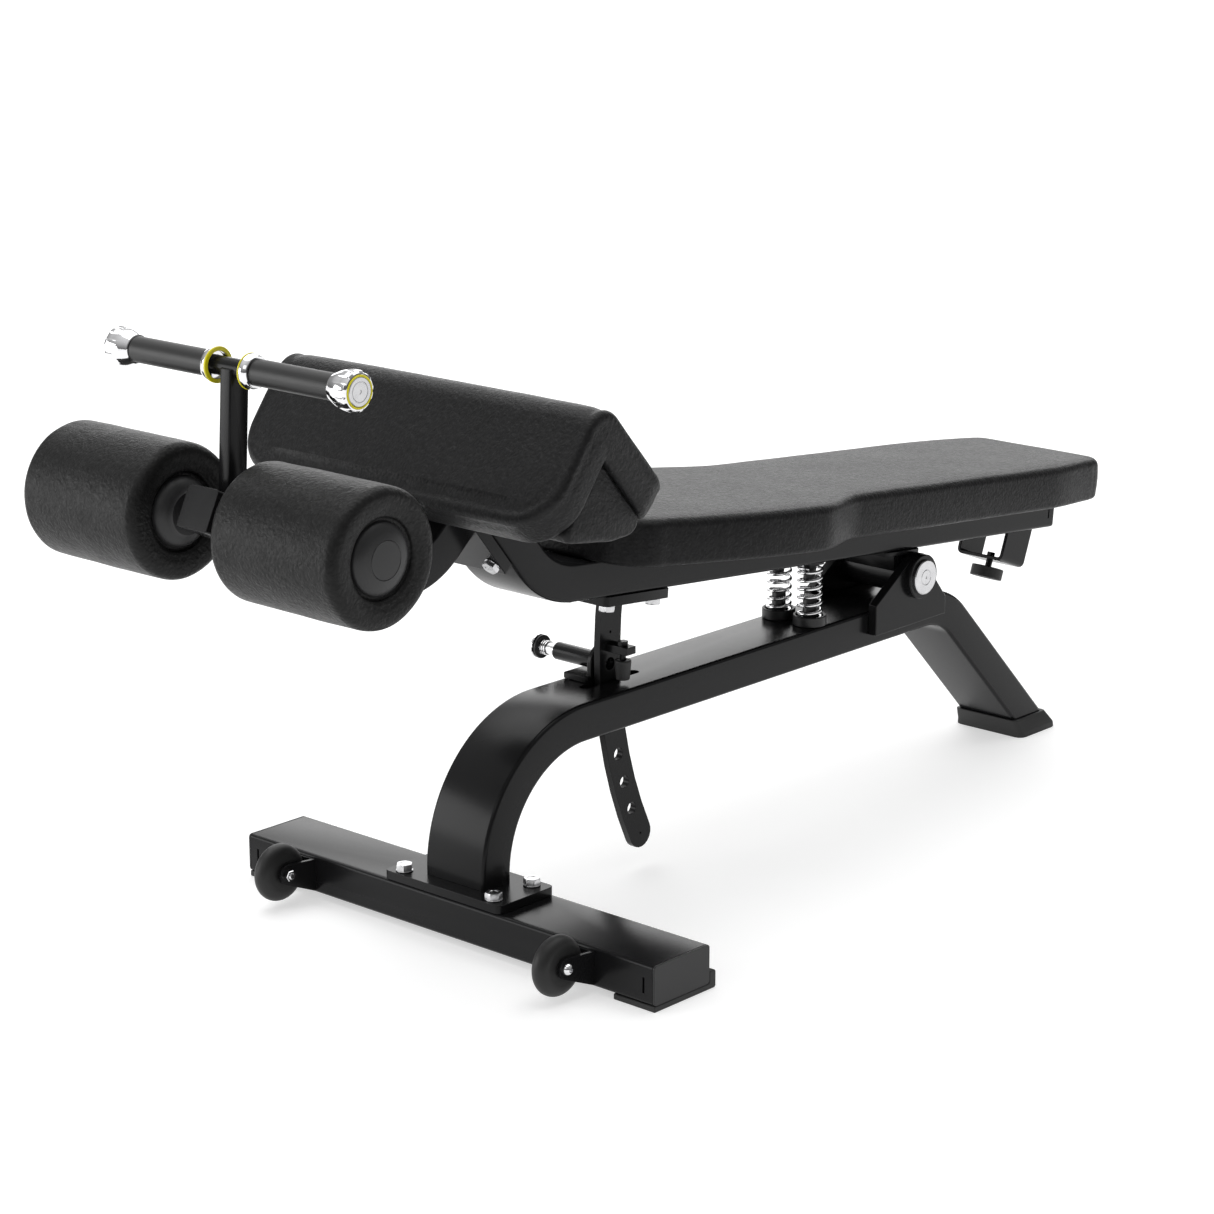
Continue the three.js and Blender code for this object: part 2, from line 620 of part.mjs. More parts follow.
const endDisc = stopPlace(
  turned([[0, discLow], [23.5, discLow], [23.5, discTop],
    [5.4, discTop], [5.4, discTop - 4], [0, discTop - 4]], 22).rotateX(Q),
);
add('end_disc', endDisc, rubber);

// ================================================================ pads
// seat pad outline as half widths along the frame, eased between stations
const ease = (t) => t * t * (3 - 2 * t);
function padHalf(u) {
  const front = 128 + 40 * Math.sin(Math.min(1, Math.max(0, (u - 15) / 285)) * Q);
  const step = ease(Math.min(1, Math.max(0, (u - 285) / 120)));
  const rear = 134;
  const tail = 18 * Math.max(0, Math.min(1, (u - 865) / 150));
  return front + (rear - front) * step - tail;
}
const PAD_0 = -38;
const PAD_1 = 1015;
function padOutline(inset) {
  const up = [];
  for (let i = 0; i <= 5; i++) {
    const a = (Q * i) / 5;
    up.push([PAD_0 + inset + 58 * (1 - Math.cos(a)), (padHalf(20) - inset - 62) + 62 * Math.sin(a)]);
  }
  for (let u = 60; u <= 980; u += u > 270 && u < 420 ? 20 : 60) up.push([u, padHalf(u) - inset]);
  for (let i = 1; i <= 4; i++) {
    const a = Q - (Q * i) / 4;
    up.push([PAD_1 - inset - 34 + 34 * Math.cos(a), (padHalf(1000) - inset - 30) + 30 * Math.sin(a)]);
  }
  return [...up, ...up.map(([u, y]) => [u, -y]).reverse()];
}
const padRing = (inset, w) => padOutline(inset).map(([u, y]) => [u, y, TUBE_H + GAP + w]);
const pad = skin([
  padRing(0, 0), padRing(0, PAD_T - 12), padRing(3, PAD_T - 4), padRing(12, PAD_T),
]);
add('seat_pad', onFrame(pad), vinyl);

// knee pad: two wings folded over a ridge with a filler between them
const kneeFront = THREE.MathUtils.degToRad(53.1);   // slope of the front wing's face
const kneeBack = THREE.MathUtils.degToRad(-48.9);
const kneeApex = [16.2, 722];
const kneeR = 30;
const kneeC = [kneeApex[0] - 1.2, kneeApex[1] - kneeR / Math.sin(THREE.MathUtils.degToRad(39))];
const kneeShape = [
  [-88, 584],
  ...arc(kneeC[0], kneeC[1], kneeR, kneeFront + Q, kneeBack + Q, 8),
  [121.4, 601.4],
  [114, 581],
  [66, 547],
  [39, 542.5],
  [-50, 555.8],
];
const kneeBody = prismY(kneeShape, -KNEE_HALF, KNEE_HALF);
// the filler stops short of the ends of the wings
const recessShape = [[15.8, 644], [69, 583], [58, 540], [-60, 540], [-40, 572]];
const recess = (s) => prismY(recessShape, s * 250, s * 280);
// rounded lower corners of the front wing, cut square to its face
function cornerCut(s) {
  const r = 60;
  const outline = [[-9, -9], [r, -9], [r, 0], ...arc(r, r, r, 3 * Q, 2 * Q, 6), [-9, r]];
  const g = prismZ(outline.map(([a, b]) => [a, s * (KNEE_HALF - b)]), -90, 60);
  return g.rotateY(-kneeFront).translate(kneeShape[0][0], 0, kneeShape[0][1]);
}
const knee = cut(kneeBody, recess(-1), recess(1), cornerCut(-1), cornerCut(1), armRoom);
add('knee_pad', knee, vinyl);

// ================================================================ roller arm and rollers
const flange = flangeAt(box(GAP, 16, -50, 50, -78, 6));
const flangeBore = [];
for (const s of [-1, 1]) flangeBore.push(flangeAt(rod([-8, s * 38, -12], [30, s * 38, -12], 6.3, 16)));
const flangeTrim = flangeAt(box(-60, 8, -60, 60, -160, 100));
const arm = cut(tube(armPath, ARM_W, ARM_W, 4), flangeTrim);
const postTop = [BAR_X, BAR_Z];
const postFoot = [BAR_X - 9.5, 612];
const postAngle = Math.atan2(postTop[1] - postFoot[1], postTop[0] - postFoot[0]);
const post = carried(
  [[postFoot[0], postFoot[1], postAngle], [postTop[0], postTop[1], postAngle]],
  roundedRect(-14, 14, -9, 9, 2, 2),
);
const axleBore = rodY(ROLLER_X, ROLLER_Z, -40, 40, 10.3, 24);
const armBody = cut(unite(arm, flange), axleBore, ...flangeBore);
const trimHalf = ARM_W / 2 + GAP;
const postTrim = carried(armPath, roundedRect(-trimHalf, trimHalf, -ARM_W / 2, ARM_W / 2, 4));
const bar = rodY(BAR_X, BAR_Z, -186, 186, 11, 24);
add('handle_post', cut(post, postTrim).add(solid(bar)), steel);
for (const [tag, s] of [['right', -1], ['left', 1]]) {
  const bolt = unite(
    flangeAt(rod([16.3, s * 38, -12], [24, s * 38, -12], 11, 6)),
    flangeAt(rod([1, s * 38, -12], [17, s * 38, -12], 5.8, 12)),
  );
  add(`arm_bolt_${tag}`, bolt, zinc);
}
const endPlate = carried(
  [[-370 - 4 * Math.cos(ARM_END), 617 - 4 * Math.sin(ARM_END), ARM_END], [-370, 617, ARM_END]],
  roundedRect(-ARM_W / 2, ARM_W / 2, -ARM_W / 2, ARM_W / 2, 4),
);
add('roller_arm', unite(armBody, endPlate), steel);

add('roller_axle', rodY(ROLLER_X, ROLLER_Z, -244, 244, 10, 24), steel);
for (const [tag, s] of [['right', -1], ['left', 1]]) {
  const [a, b, r] = [ROLLER_IN, ROLLER_OUT, ROLLER_R];
  const foamShape = [
    [14.3, a + 14], [42, a + 14], [54, a + 3], [62, a], [73, a + 3], [r, a + 12],
    [r, b - 12], [73, b - 3], [62, b], [54, b - 3], [44, b - 14], [14.3, b - 14], [14.3, a + 14],
  ];
  add(`roller_${tag}`, turnedY(foamShape.map(([q, h]) => [q, s * h]), ROLLER_X, ROLLER_Z, 26), foam);
  const hubShape = [
    [0, b - 11], [10.3, b - 11], [10.3, a - 8], [26, a - 6], [36, a + 1], [39.5, a + 13.7],
    [14, a + 13.7], [14, b - 13.7], [42, b - 13.7], [41, b - 6], [34, b], [21, b + 2.8], [0, b + 3.2],
  ];
  add(`roller_hub_${tag}`, turnedY(hubShape.map(([q, h]) => [q, s * h]), ROLLER_X, ROLLER_Z, 22), plastic);
}

// ================================================================ hand grips
for (const [tag, s] of [['right', -1], ['left', 1]]) {
  const at = (prof) => turnedY(prof.map(([r, h]) => [r, s * h]), BAR_X, BAR_Z, 20);
  add(`grip_${tag}`, at([[11.3, 38.6], [15.2, 38.6], [15.2, 163.5], [11.3, 163.5], [11.3, 38.6]]), rubber);
  add(`grip_collar_${tag}`, at([
    [11.3, 30], [15.5, 30], [15.5, 26], [20.5, 26], [20.5, 36], [18.5, 38.3], [11.3, 38.3], [11.3, 30],
  ]), chrome);
  add(`grip_cap_${tag}`, at([
    [0, 186.4], [11.3, 186.4], [11.3, 163.8], [16.5, 163.8], [20, 172], [23.2, 186], [23.5, 195],
    [19, 200.6], [0, 200.6],
  ]), chrome);
}

export default group;
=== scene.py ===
"""Decline sit-up bench: the visual model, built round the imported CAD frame."""
import json
import math
import bpy
import bmesh
from mathutils import Matrix, Vector, noise

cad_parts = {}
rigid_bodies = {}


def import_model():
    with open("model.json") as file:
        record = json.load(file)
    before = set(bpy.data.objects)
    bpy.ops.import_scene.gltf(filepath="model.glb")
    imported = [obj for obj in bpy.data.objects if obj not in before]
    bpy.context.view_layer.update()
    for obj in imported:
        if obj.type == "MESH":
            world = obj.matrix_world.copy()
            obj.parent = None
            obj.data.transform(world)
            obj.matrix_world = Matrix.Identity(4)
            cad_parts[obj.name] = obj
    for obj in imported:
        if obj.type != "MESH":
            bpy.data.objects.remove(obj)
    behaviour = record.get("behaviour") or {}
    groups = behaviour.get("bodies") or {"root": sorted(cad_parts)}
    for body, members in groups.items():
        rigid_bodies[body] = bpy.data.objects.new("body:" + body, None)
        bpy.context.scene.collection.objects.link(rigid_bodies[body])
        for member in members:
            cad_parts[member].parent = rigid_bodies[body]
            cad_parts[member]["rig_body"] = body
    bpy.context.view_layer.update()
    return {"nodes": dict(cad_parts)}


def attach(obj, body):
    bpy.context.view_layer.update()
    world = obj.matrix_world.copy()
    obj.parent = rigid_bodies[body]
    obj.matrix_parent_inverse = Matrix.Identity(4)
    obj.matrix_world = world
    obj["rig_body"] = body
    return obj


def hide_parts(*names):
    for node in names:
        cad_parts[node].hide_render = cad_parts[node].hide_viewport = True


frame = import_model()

NODES = frame["nodes"]
CENTRE_X = 429.5                 # the bench's middle, measured from the front face of the crossfoot
TAU = math.tau
Q = math.pi / 2


def P(x, y, z):
    """millimetres from the crossfoot's front face to the frame's metres"""
    return Vector(((x - CENTRE_X) / 1000, y / 1000, z / 1000))


# ------------------------------------------------------------------ materials
def new_material(name):
    m = bpy.data.materials.new(name)
    m.use_nodes = True
    t = m.node_tree
    shader = t.nodes["Principled BSDF"]
    coord = t.nodes.new("ShaderNodeTexCoord")
    return m, t, shader, coord.outputs["Object"]


def noise_node(t, co, scale, detail=4.0, rough=0.5, distort=0.0):
    n = t.nodes.new("ShaderNodeTexNoise")
    n.inputs["Scale"].default_value = scale
    n.inputs["Detail"].default_value = detail
    n.inputs["Roughness"].default_value = rough
    n.inputs["Distortion"].default_value = distort
    t.links.new(co, n.inputs["Vector"])
    return n.outputs["Fac"]


def cells(t, co, scale, feature="F1", smooth=0.4):
    n = t.nodes.new("ShaderNodeTexVoronoi")
    n.feature = feature
    n.inputs["Scale"].default_value = scale
    if feature == "SMOOTH_F1":
        n.inputs["Smoothness"].default_value = smooth
    t.links.new(co, n.inputs["Vector"])
    return n.outputs["Distance"]


def ranged(t, value, a, b, lo=0.0, hi=1.0):
    n = t.nodes.new("ShaderNodeMapRange")
    n.inputs["From Min"].default_value = lo
    n.inputs["From Max"].default_value = hi
    n.inputs["To Min"].default_value = a
    n.inputs["To Max"].default_value = b
    t.links.new(value, n.inputs["Value"])
    return n.outputs["Result"]


def maths(t, op, a, b):
    n = t.nodes.new("ShaderNodeMath")
    n.operation = op
    for i, v in enumerate((a, b)):
        if isinstance(v, (int, float)):
            n.inputs[i].default_value = v
        else:
            t.links.new(v, n.inputs[i])
    return n.outputs[0]


def mixed(t, factor, a, b):
    n = t.nodes.new("ShaderNodeMix")
    n.data_type = "RGBA"
    n.inputs["A"].default_value = (*a, 1)
    n.inputs["B"].default_value = (*b, 1)
    t.links.new(factor, n.inputs["Factor"])
    return n.outputs["Result"]


def bump(t, height, strength, distance, after=None):
    n = t.nodes.new("ShaderNodeBump")
    n.inputs["Strength"].default_value = strength
    n.inputs["Distance"].default_value = distance
    t.links.new(height, n.inputs["Height"])
    if after is not None:
        t.links.new(after, n.inputs["Normal"])
    return n.outputs["Normal"]


def worn_edges(t, width):
    """1 on edges, 0 on flats: how far the rounded normal leans from the true one"""
    bev = t.nodes.new("ShaderNodeBevel")
    bev.samples = 4
    bev.inputs["Radius"].default_value = width
    geo = t.nodes.new("ShaderNodeNewGeometry")
    dot = t.nodes.new("ShaderNodeVectorMath")
    dot.operation = "DOT_PRODUCT"
    t.links.new(bev.outputs["Normal"], dot.inputs[0])
    t.links.new(geo.outputs["Normal"], dot.inputs[1])
    return ranged(t, dot.outputs["Value"], 1.0, 0.0, 0.82, 0.99)


def powder_coat():
    m, t, s, co = new_material("powder_coat")
    drift = noise_node(t, co, 9, 3)
    fine = noise_node(t, co, 950, 2, 0.6)
    dust = noise_node(t, co, 60, 5, 0.65)
    wear = maths(t, "MULTIPLY", worn_edges(t, 0.0012), ranged(t, dust, 0.0, 1.0, 0.42, 0.62))
    t.links.new(mixed(t, wear, (0.0085, 0.0085, 0.009), (0.035, 0.035, 0.037)), s.inputs["Base Color"])
    rough = maths(t, "ADD", ranged(t, drift, 0.19, 0.27), ranged(t, dust, -0.02, 0.04))
    t.links.new(rough, s.inputs["Roughness"])
    peel = noise_node(t, co, 260, 2, 0.5)
    n = bump(t, peel, 0.10, 0.0003)
    t.links.new(bump(t, fine, 0.08, 0.00012, n), s.inputs["Normal"])
    s.inputs["Specular IOR Level"].default_value = 0.16
    return m


def leather(name, scale, tone, depth, spec, rough):
    """pebbled vinyl: soft cells broken up by wrinkles, with painted shade darkening the colour in the
    grain's valleys
    """
    m, t, s, co = new_material(name)
    warp = noise_node(t, co, scale * 0.35, 3, 0.55)
    pebble = cells(t, co, scale, "SMOOTH_F1", 0.55)
    wrinkle = noise_node(t, co, scale * 0.62, 4, 0.6, 1.2)
    pores = noise_node(t, co, scale * 4.5, 2, 0.5)
    drift = noise_node(t, co, 6, 3)
    height = maths(t, "SUBTRACT", ranged(t, wrinkle, 0.0, 1.0, 0.3, 0.72), ranged(t, pebble, 0.0, 0.85))
    height = maths(t, "ADD", height, ranged(t, warp, 0.0, 0.8))
    dark, light = tone
    # painted shade: the colour follows the grain's height and is darkest down in its valleys
    painted_valley_shade = ranged(t, height, 0.0, 1.0, -0.1, 0.9)
    t.links.new(mixed(t, painted_valley_shade, dark, light), s.inputs["Base Color"])
    shine = maths(t, "ADD", ranged(t, drift, *rough), ranged(t, height, 0.05, -0.04))
    t.links.new(shine, s.inputs["Roughness"])
    n = bump(t, height, depth, 0.0011)
    t.links.new(bump(t, pores, 0.12, 0.00012, n), s.inputs["Normal"])
    s.inputs["Specular IOR Level"].default_value = spec
    return m


def moulded(name, dark, light, rough, grain=700, depth=0.15, spec=0.4):
    """moulded rubber or plastic: fine grain, faint mottling, slightly polished edges"""
    m, t, s, co = new_material(name)
    fine = noise_node(t, co, grain, 3, 0.6)
    drift = noise_node(t, co, 25, 4)
    edge = worn_edges(t, 0.0015)
    tone = maths(t, "ADD", ranged(t, drift, 0.0, 0.7), maths(t, "MULTIPLY", edge, 0.3))
    t.links.new(mixed(t, tone, dark, light), s.inputs["Base Color"])
    shine = maths(t, "SUBTRACT", ranged(t, drift, rough[0], rough[1]), maths(t, "MULTIPLY", edge, 0.08))
    t.links.new(shine, s.inputs["Roughness"])
    t.links.new(bump(t, fine, depth, 0.0002), s.inputs["Normal"])
    s.inputs["Specular IOR Level"].default_value = spec
    return m


def metal(name, dark, light, rough, grain=500, depth=0.03):
    m, t, s, co = new_material(name)
    s.inputs["Metallic"].default_value = 1.0
    smear = noise_node(t, co, 45, 5, 0.6)
    fine = noise_node(t, co, grain, 3, 0.6)
    t.links.new(mixed(t, ranged(t, smear, 0, 1, 0.3, 0.7), dark, light), s.inputs["Base Color"])
    t.links.new(ranged(t, smear, rough[0], rough[1], 0.3, 0.7), s.inputs["Roughness"])
    t.links.new(bump(t, fine, depth, 0.0001), s.inputs["Normal"])
    return m


POWDER = powder_coat()
# the darker colour of each pair is painted shade for the grain's valleys
VINYL_TONE = ((0.005, 0.005, 0.0052), (0.0105, 0.0105, 0.011))
SKIN_TONE = ((0.005, 0.005, 0.005), (0.0105, 0.0105, 0.0105))
VINYL = leather("seat_vinyl", 250, VINYL_TONE, 0.42, 0.15, (0.38, 0.46))
KNEE_VINYL = leather("knee_vinyl", 230, VINYL_TONE, 0.45, 0.20, (0.35, 0.43))
FOAM = leather("roller_skin", 215, SKIN_TONE, 0.45, 0.18, (0.36, 0.44))
RUBBER = moulded("foot_rubber", (0.018, 0.018, 0.018), (0.030, 0.030, 0.030), (0.52, 0.64), 600, 0.2, 0.4)
GRIP = moulded("grip_rubber", (0.014, 0.014, 0.014), (0.022, 0.022, 0.022), (0.40, 0.48), 900, 0.12, 0.45)
TYRE = moulded("wheel_rubber", (0.008, 0.008, 0.008), (0.015, 0.015, 0.015), (0.42, 0.55), 500, 0.12)
PLASTIC = moulded("moulded_plastic", (0.010, 0.010, 0.0105), (0.017, 0.017, 0.018), (0.36, 0.46), 1100, 0.1)
HUB = moulded("hub_plastic", (0.013, 0.013, 0.0135), (0.02, 0.02, 0.021), (0.38, 0.46), 1100, 0.08)
YELLOW = moulded("ring_yellow", (0.62, 0.55, 0.0), (0.78, 0.70, 0.02), (0.32, 0.42), 900, 0.05)
CHROME = metal("chrome", (0.72, 0.72, 0.73), (0.86, 0.86, 0.87), (0.05, 0.11), 400, 0.012)
SILVER = metal("zinc_plate", (0.50, 0.50, 0.51), (0.68, 0.68, 0.69), (0.22, 0.34), 800, 0.06)


# ------------------------------------------------------------------ mesh helpers
def finish(name, verts, faces, mat, body, replaces=(), sharp=38):
    """a piece from its points and faces, on its body, in place of the CAD nodes it replaces"""
    me = bpy.data.meshes.new(name)
    me.from_pydata([tuple(v) for v in verts], [], faces)
    bm = bmesh.new()
    bm.from_mesh(me)
    bmesh.ops.remove_doubles(bm, verts=bm.verts, dist=1e-6)
    bmesh.ops.recalc_face_normals(bm, faces=bm.faces)
    bm.to_mesh(me)
    bm.free()
    return dress(name, me, mat, body, replaces, sharp)


def dress(name, me, mat, body, replaces=(), sharp=38):
    """gives a mesh its material, shading and body, and hides the CAD nodes it replaces"""
    me.materials.clear()
    me.materials.append(mat)
    me.polygons.foreach_set("use_smooth", [True] * len(me.polygons))
    me.set_sharp_from_angle(angle=math.radians(sharp))
    o = bpy.data.objects.new(name, me)
    bpy.context.scene.collection.objects.link(o)
    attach(o, body)
    if replaces:
        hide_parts(*replaces)
    return o


def bevel(o, width, segments=3, angle=35):
    """rounds the edges sharper than angle; width in millimetres"""
    m = o.modifiers.new("bevel", "BEVEL")
    m.width = width / 1000
    m.segments = segments
    m.limit_method = "ANGLE"
    m.angle_limit = math.radians(angle)
    m.harden_normals = False
    return o


def bake(o):
    """applies the modifiers to the piece's mesh"""
    dg = bpy.context.evaluated_depsgraph_get()
    me = bpy.data.meshes.new_from_object(o.evaluated_get(dg))
    mats = list(o.data.materials)
    o.modifiers.clear()
    o.data = me
    if not me.materials:
        for mat in mats:
            me.materials.append(mat)
    return o


def carve(o, verts, faces):
    """cuts a closed shape out of the piece"""
    me = bpy.data.meshes.new("cutter")
    me.from_pydata([tuple(v) for v in verts], [], faces)
    bm = bmesh.new()
    bm.from_mesh(me)
    bmesh.ops.recalc_face_normals(bm, faces=bm.faces)
    bm.to_mesh(me)
    bm.free()
    c = bpy.data.objects.new("cutter", me)
    bpy.context.scene.collection.objects.link(c)
    m = o.modifiers.new("cut", "BOOLEAN")
    m.object = c
    m.operation = "DIFFERENCE"
    m.solver = "EXACT"
    bpy.context.view_layer.update()
    bake(o)
    bpy.data.objects.remove(c)
    o.data.polygons.foreach_set("use_smooth", [True] * len(o.data.polygons))
    o.data.set_sharp_from_angle(angle=math.radians(38))
    return o


def loft(rings):
    """a closed solid through rings of equal length"""
    n = len(rings[0])
    verts = [v for r in rings for v in r]
    faces = []
    for i in range(len(rings) - 1):
        for j in range(n):
            k = (j + 1) % n
            faces.append((i * n + j, i * n + k, (i + 1) * n + k, (i + 1) * n + j))
    faces.append(tuple(range(n)))
    faces.append(tuple((len(rings) - 1) * n + j for j in range(n)))
    return verts, faces


def lathe(name, profile, at, axis, mat, body, replaces=(), seg=72, shape=None, sharp=34):
    """turns a profile of (radius, height) about a line through at

    The profile starts and ends on the axis or closes on itself. axis is "Y", "Z" or a matrix that
    maps the profile's own metres to the bench. shape(r, h, angle) may change the radius.
    """
    loop = profile[0] == profile[-1] and profile[0][0] > 1e-6
    prof = profile[:-1] if loop else profile
    verts, faces, rows = [], [], []
    for r, h in prof:
        row = []
        for j in range(1 if r < 1e-6 else seg):
            a = TAU * j / seg
            q = shape(r, h, a) if shape else r
            c, s = q * math.cos(a), q * math.sin(a)
            if axis == "Y":
                verts.append(P(at[0] + c, at[1] + h, at[2] + s))
            elif axis == "Z":
                verts.append(P(at[0] + c, at[1] + s, at[2] + h))
            else:
                verts.append(axis @ Vector((c / 1000, s / 1000, h / 1000)))
            row.append(len(verts) - 1)
        rows.append(row)
    pairs = list(zip(rows, rows[1:] + rows[:1])) if loop else list(zip(rows, rows[1:]))
    for a, b in pairs:
        for j in range(seg):
            k = (j + 1) % seg
            if len(a) == 1 and len(b) == 1:
                break
            if len(a) == 1:
                faces.append((a[0], b[k], b[j]))
            elif len(b) == 1:
                faces.append((a[j], a[k], b[0]))
            else:
                faces.append((a[j], a[k], b[k], b[j]))
    return finish(name, verts, faces, mat, body, replaces, sharp)


def mirrored(profile, s):
    """the profile for the left (s = 1) or right (s = -1) side"""
    return [(r, s * h) for r, h in profile]


def arc(cx, cy, r, a0, a1, n):
    angles = [a0 + (a1 - a0) * i / n for i in range(n + 1)]
    return [(cx + r * math.cos(a), cy + r * math.sin(a)) for a in angles]


def rounded(hx, hy, r, n=6):
    """a rectangle of half sizes hx and hy with corners of radius r"""
    out = []
    for i, (sx, sy) in enumerate(((1, -1), (1, 1), (-1, 1), (-1, -1))):
        out += arc(sx * (hx - r), sy * (hy - r), r, (i - 1) * Q, i * Q, n)
    return out


def bend(cx, cz, r, h0, h1, n):
    """path points (x, z, heading) round a centre, from heading h0 to h1"""
    s = 1 if h1 > h0 else -1
    out = []
    for i in range(n + 1):
        h = h0 + (h1 - h0) * i / n
        out.append((cx + s * r * math.sin(h), cz - s * r * math.cos(h), h))
    return out


def swept(path, section, place=P):
    """a section of (height, width) carried along a path of (x, z, heading)"""
    rings = []
    for x, z, a in path:
        rings.append([place(x - n * math.sin(a), y, z + n * math.cos(a)) for n, y in section])
    return loft(rings)


def cad_copy(node, mat, name=None, width=0.8, segments=2, angle=38):
    """the CAD node's own shape with its edges rounded over"""
    src = NODES[node]
    bm = bmesh.new()
    bm.from_mesh(src.data)
    bmesh.ops.remove_doubles(bm, verts=bm.verts, dist=2e-6)
    bmesh.ops.dissolve_limit(bm, angle_limit=math.radians(0.6), verts=bm.verts, edges=bm.edges)
    me = bpy.data.meshes.new(name or node + "_body")
    bm.to_mesh(me)
    bm.free()
    o = dress(name or node + "_body", me, mat, src["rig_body"], (node,), angle)
    if width:
        bevel(o, width, segments, angle)
    return o


# ------------------------------------------------------------------ floor frame
FLOOR = "floor_frame"
SEAT = "seat"
SPINE_MID = 243                  # height of the spine's middle line
PIVOT_X, PIVOT_Z = 886.5, 303.5
LEG_BEND_X, LEG_BEND_R = 929, 105
LEG_RUN = 320                    # straight part of the rear leg, trimmed at the boot
spine_path = [(50, 69.8, Q)] + bend(215, 78, 165, Q, 0, 40) + [(862, SPINE_MID, 0)]
tube = rounded(25, 50, 5)
v, f = swept(spine_path, tube)
spine = finish("spine_tube_body", v, f, POWDER, FLOOR, ("spine_tube",))
slot_shape = arc(358, 0, 8, -Q, Q, 12) + arc(266, 0, 8, Q, 3 * Q, 12)
v, f = loft([[P(x, y, z) for x, y in slot_shape] for z in (200, 280)])
carve(spine, v, f)

leg_slope = Q / 2
leg_end = (LEG_BEND_X + LEG_BEND_R * math.sin(leg_slope) + LEG_RUN * math.cos(leg_slope),
           SPINE_MID - LEG_BEND_R * (1 - math.cos(leg_slope)) - LEG_RUN * math.sin(leg_slope))
leg_path = [(862.3, SPINE_MID, 0)]
leg_path += bend(LEG_BEND_X, SPINE_MID - LEG_BEND_R, LEG_BEND_R, 0, -leg_slope, 28)
leg_path += [(*leg_end, -leg_slope)]


def keep_below(verts, faces, co, no):
    """trims a closed mesh at a plane, keeping the side away from no"""
    bm = bmesh.new()
    me = bpy.data.meshes.new("tmp")
    me.from_pydata([tuple(p) for p in verts], [], faces)
    bm.from_mesh(me)
    cut = bmesh.ops.bisect_plane(bm, geom=bm.verts[:] + bm.edges[:] + bm.faces[:], dist=1e-7,
                                 plane_co=co, plane_no=no, clear_outer=True)
    edges = [e for e in cut["geom_cut"] if isinstance(e, bmesh.types.BMEdge)]
    bmesh.ops.edgeloop_fill(bm, edges=edges)
    bm.verts.index_update()
    out = [p.co.copy() for p in bm.verts], [tuple(p.index for p in q.verts) for q in bm.faces]
    bm.free()
    bpy.data.meshes.remove(me)
    return out


v, f = swept(leg_path, tube)
v, f = keep_below(v, f, P(0, 0, 12), Vector((0, 0, -1)))
finish("rear_leg_body", v, f, POWDER, FLOOR, ("rear_leg",))

for node in ("front_crossfoot", "base_plate", "latch_bracket", "wheel_bracket_left", "wheel_bracket_right"):
    cad_copy(node, POWDER, width=0.9 if node != "front_crossfoot" else 0.5)
for tag in ("left", "right"):
    cad_copy("foot_cap_" + tag, PLASTIC, width=0.5)
    cad_copy("foot_pad_" + tag, RUBBER, width=1.5, segments=3)
cad_copy("rear_boot", RUBBER, width=1.6, segments=3, angle=30)

# pivot cheeks: plate with the boss standing proud
for tag, s in (("left", 1), ("right", -1)):
    at = (PIVOT_X, 0, PIVOT_Z)
    outline = [(791, 279), (791, 236), (952, 236), (952, 262)]
    outline += arc(PIVOT_X, PIVOT_Z, 32, math.radians(-2), math.radians(128), 40)
    v, f = loft([[P(x, s * y, z) for x, z in outline] for y in (50.3, 64)])
    cheek = finish("pivot_cheek_" + tag + "_plate", v, f, POWDER, FLOOR, ("pivot_cheek_" + tag,))
    bevel(cheek, 1.2, 3, 30)
    boss = [(10.3, 60), (31.5, 60), (31.5, 71.6), (30.2, 73), (10.3, 73), (10.3, 60)]
    lathe("pivot_boss_" + tag, mirrored(boss, s), at, "Y", POWDER, FLOOR)
    cap = [(0, 73.3), (24.5, 73.3), (24.5, 76.2), (23.3, 77.3), (11.2, 77.3), (10.6, 76.6), (10.0, 77.3),
           (2.0, 77.3), (1.6, 76.5), (0, 76.5)]
    node = "pivot_cap_left" if s > 0 else "pivot_axle"
    lathe("pivot_cap_" + tag + "_disc", mirrored(cap, s), at, "Y", SILVER, FLOOR, (node,))
shaft = [(0, -73), (10, -73), (10, 73), (0, 73)]
lathe("pivot_axle_shaft", shaft, (PIVOT_X, 0, PIVOT_Z), "Y", SILVER, FLOOR)


def hex_ring(place, r, h, inset=0):
    """a ring of 36 points on a hexagon of radius r at height h; inset 1 makes it a circle"""
    ring = []
    for j in range(36):
        a = TAU * j / 36
        hexa = math.cos(math.pi / 6) / math.cos((a % (TAU / 6)) - math.pi / 6)
        q = r * (hexa * (1 - inset) + 0.94 * inset)
        ring.append(place @ Vector((q * math.cos(a) / 1000, q * math.sin(a) / 1000, h / 1000)))
    return ring


def hex_bolt(name, place, body, across=19, head=8, washer=11, shank=20):
    """hex head on a washer; place maps local metres (z away from the joint) to the bench"""
    R = across / math.sqrt(3)
    steps = ((R, 1.5, 0), (R, 1.5 + head - 1.2, 0), (R * 0.93, 1.5 + head, 0.5),
             (R * 0.55, 1.5 + head, 1), (R * 0.5, 1.1 + head, 1))
    v, f = loft([hex_ring(place, r, h, inset) for r, h, inset in steps])
    finish(name + "_head", v, f, SILVER, body, (name,), sharp=28)
    wash = [(0, 0), (washer - 0.4, 0), (washer, 0.4), (washer, 1.2), (washer - 0.4, 1.6), (0, 1.6)]
    lathe(name + "_washer", wash, None, place, SILVER, body, seg=40)
    stem = [(0, -shank), (5.8, -shank), (5.8, 0.2), (0, 0.2)]
    lathe(name + "_shank", stem, None, place, SILVER, body, seg=24)


k = 1
for x in (15, 83):
    for y in (-77, 77):
        turn = Matrix.Rotation(0.35 * k, 4, "Z")
        hex_bolt("base_bolt_%d" % k, Matrix.Translation(P(x, y, 69.8)) @ turn, FLOOR)
        k += 1

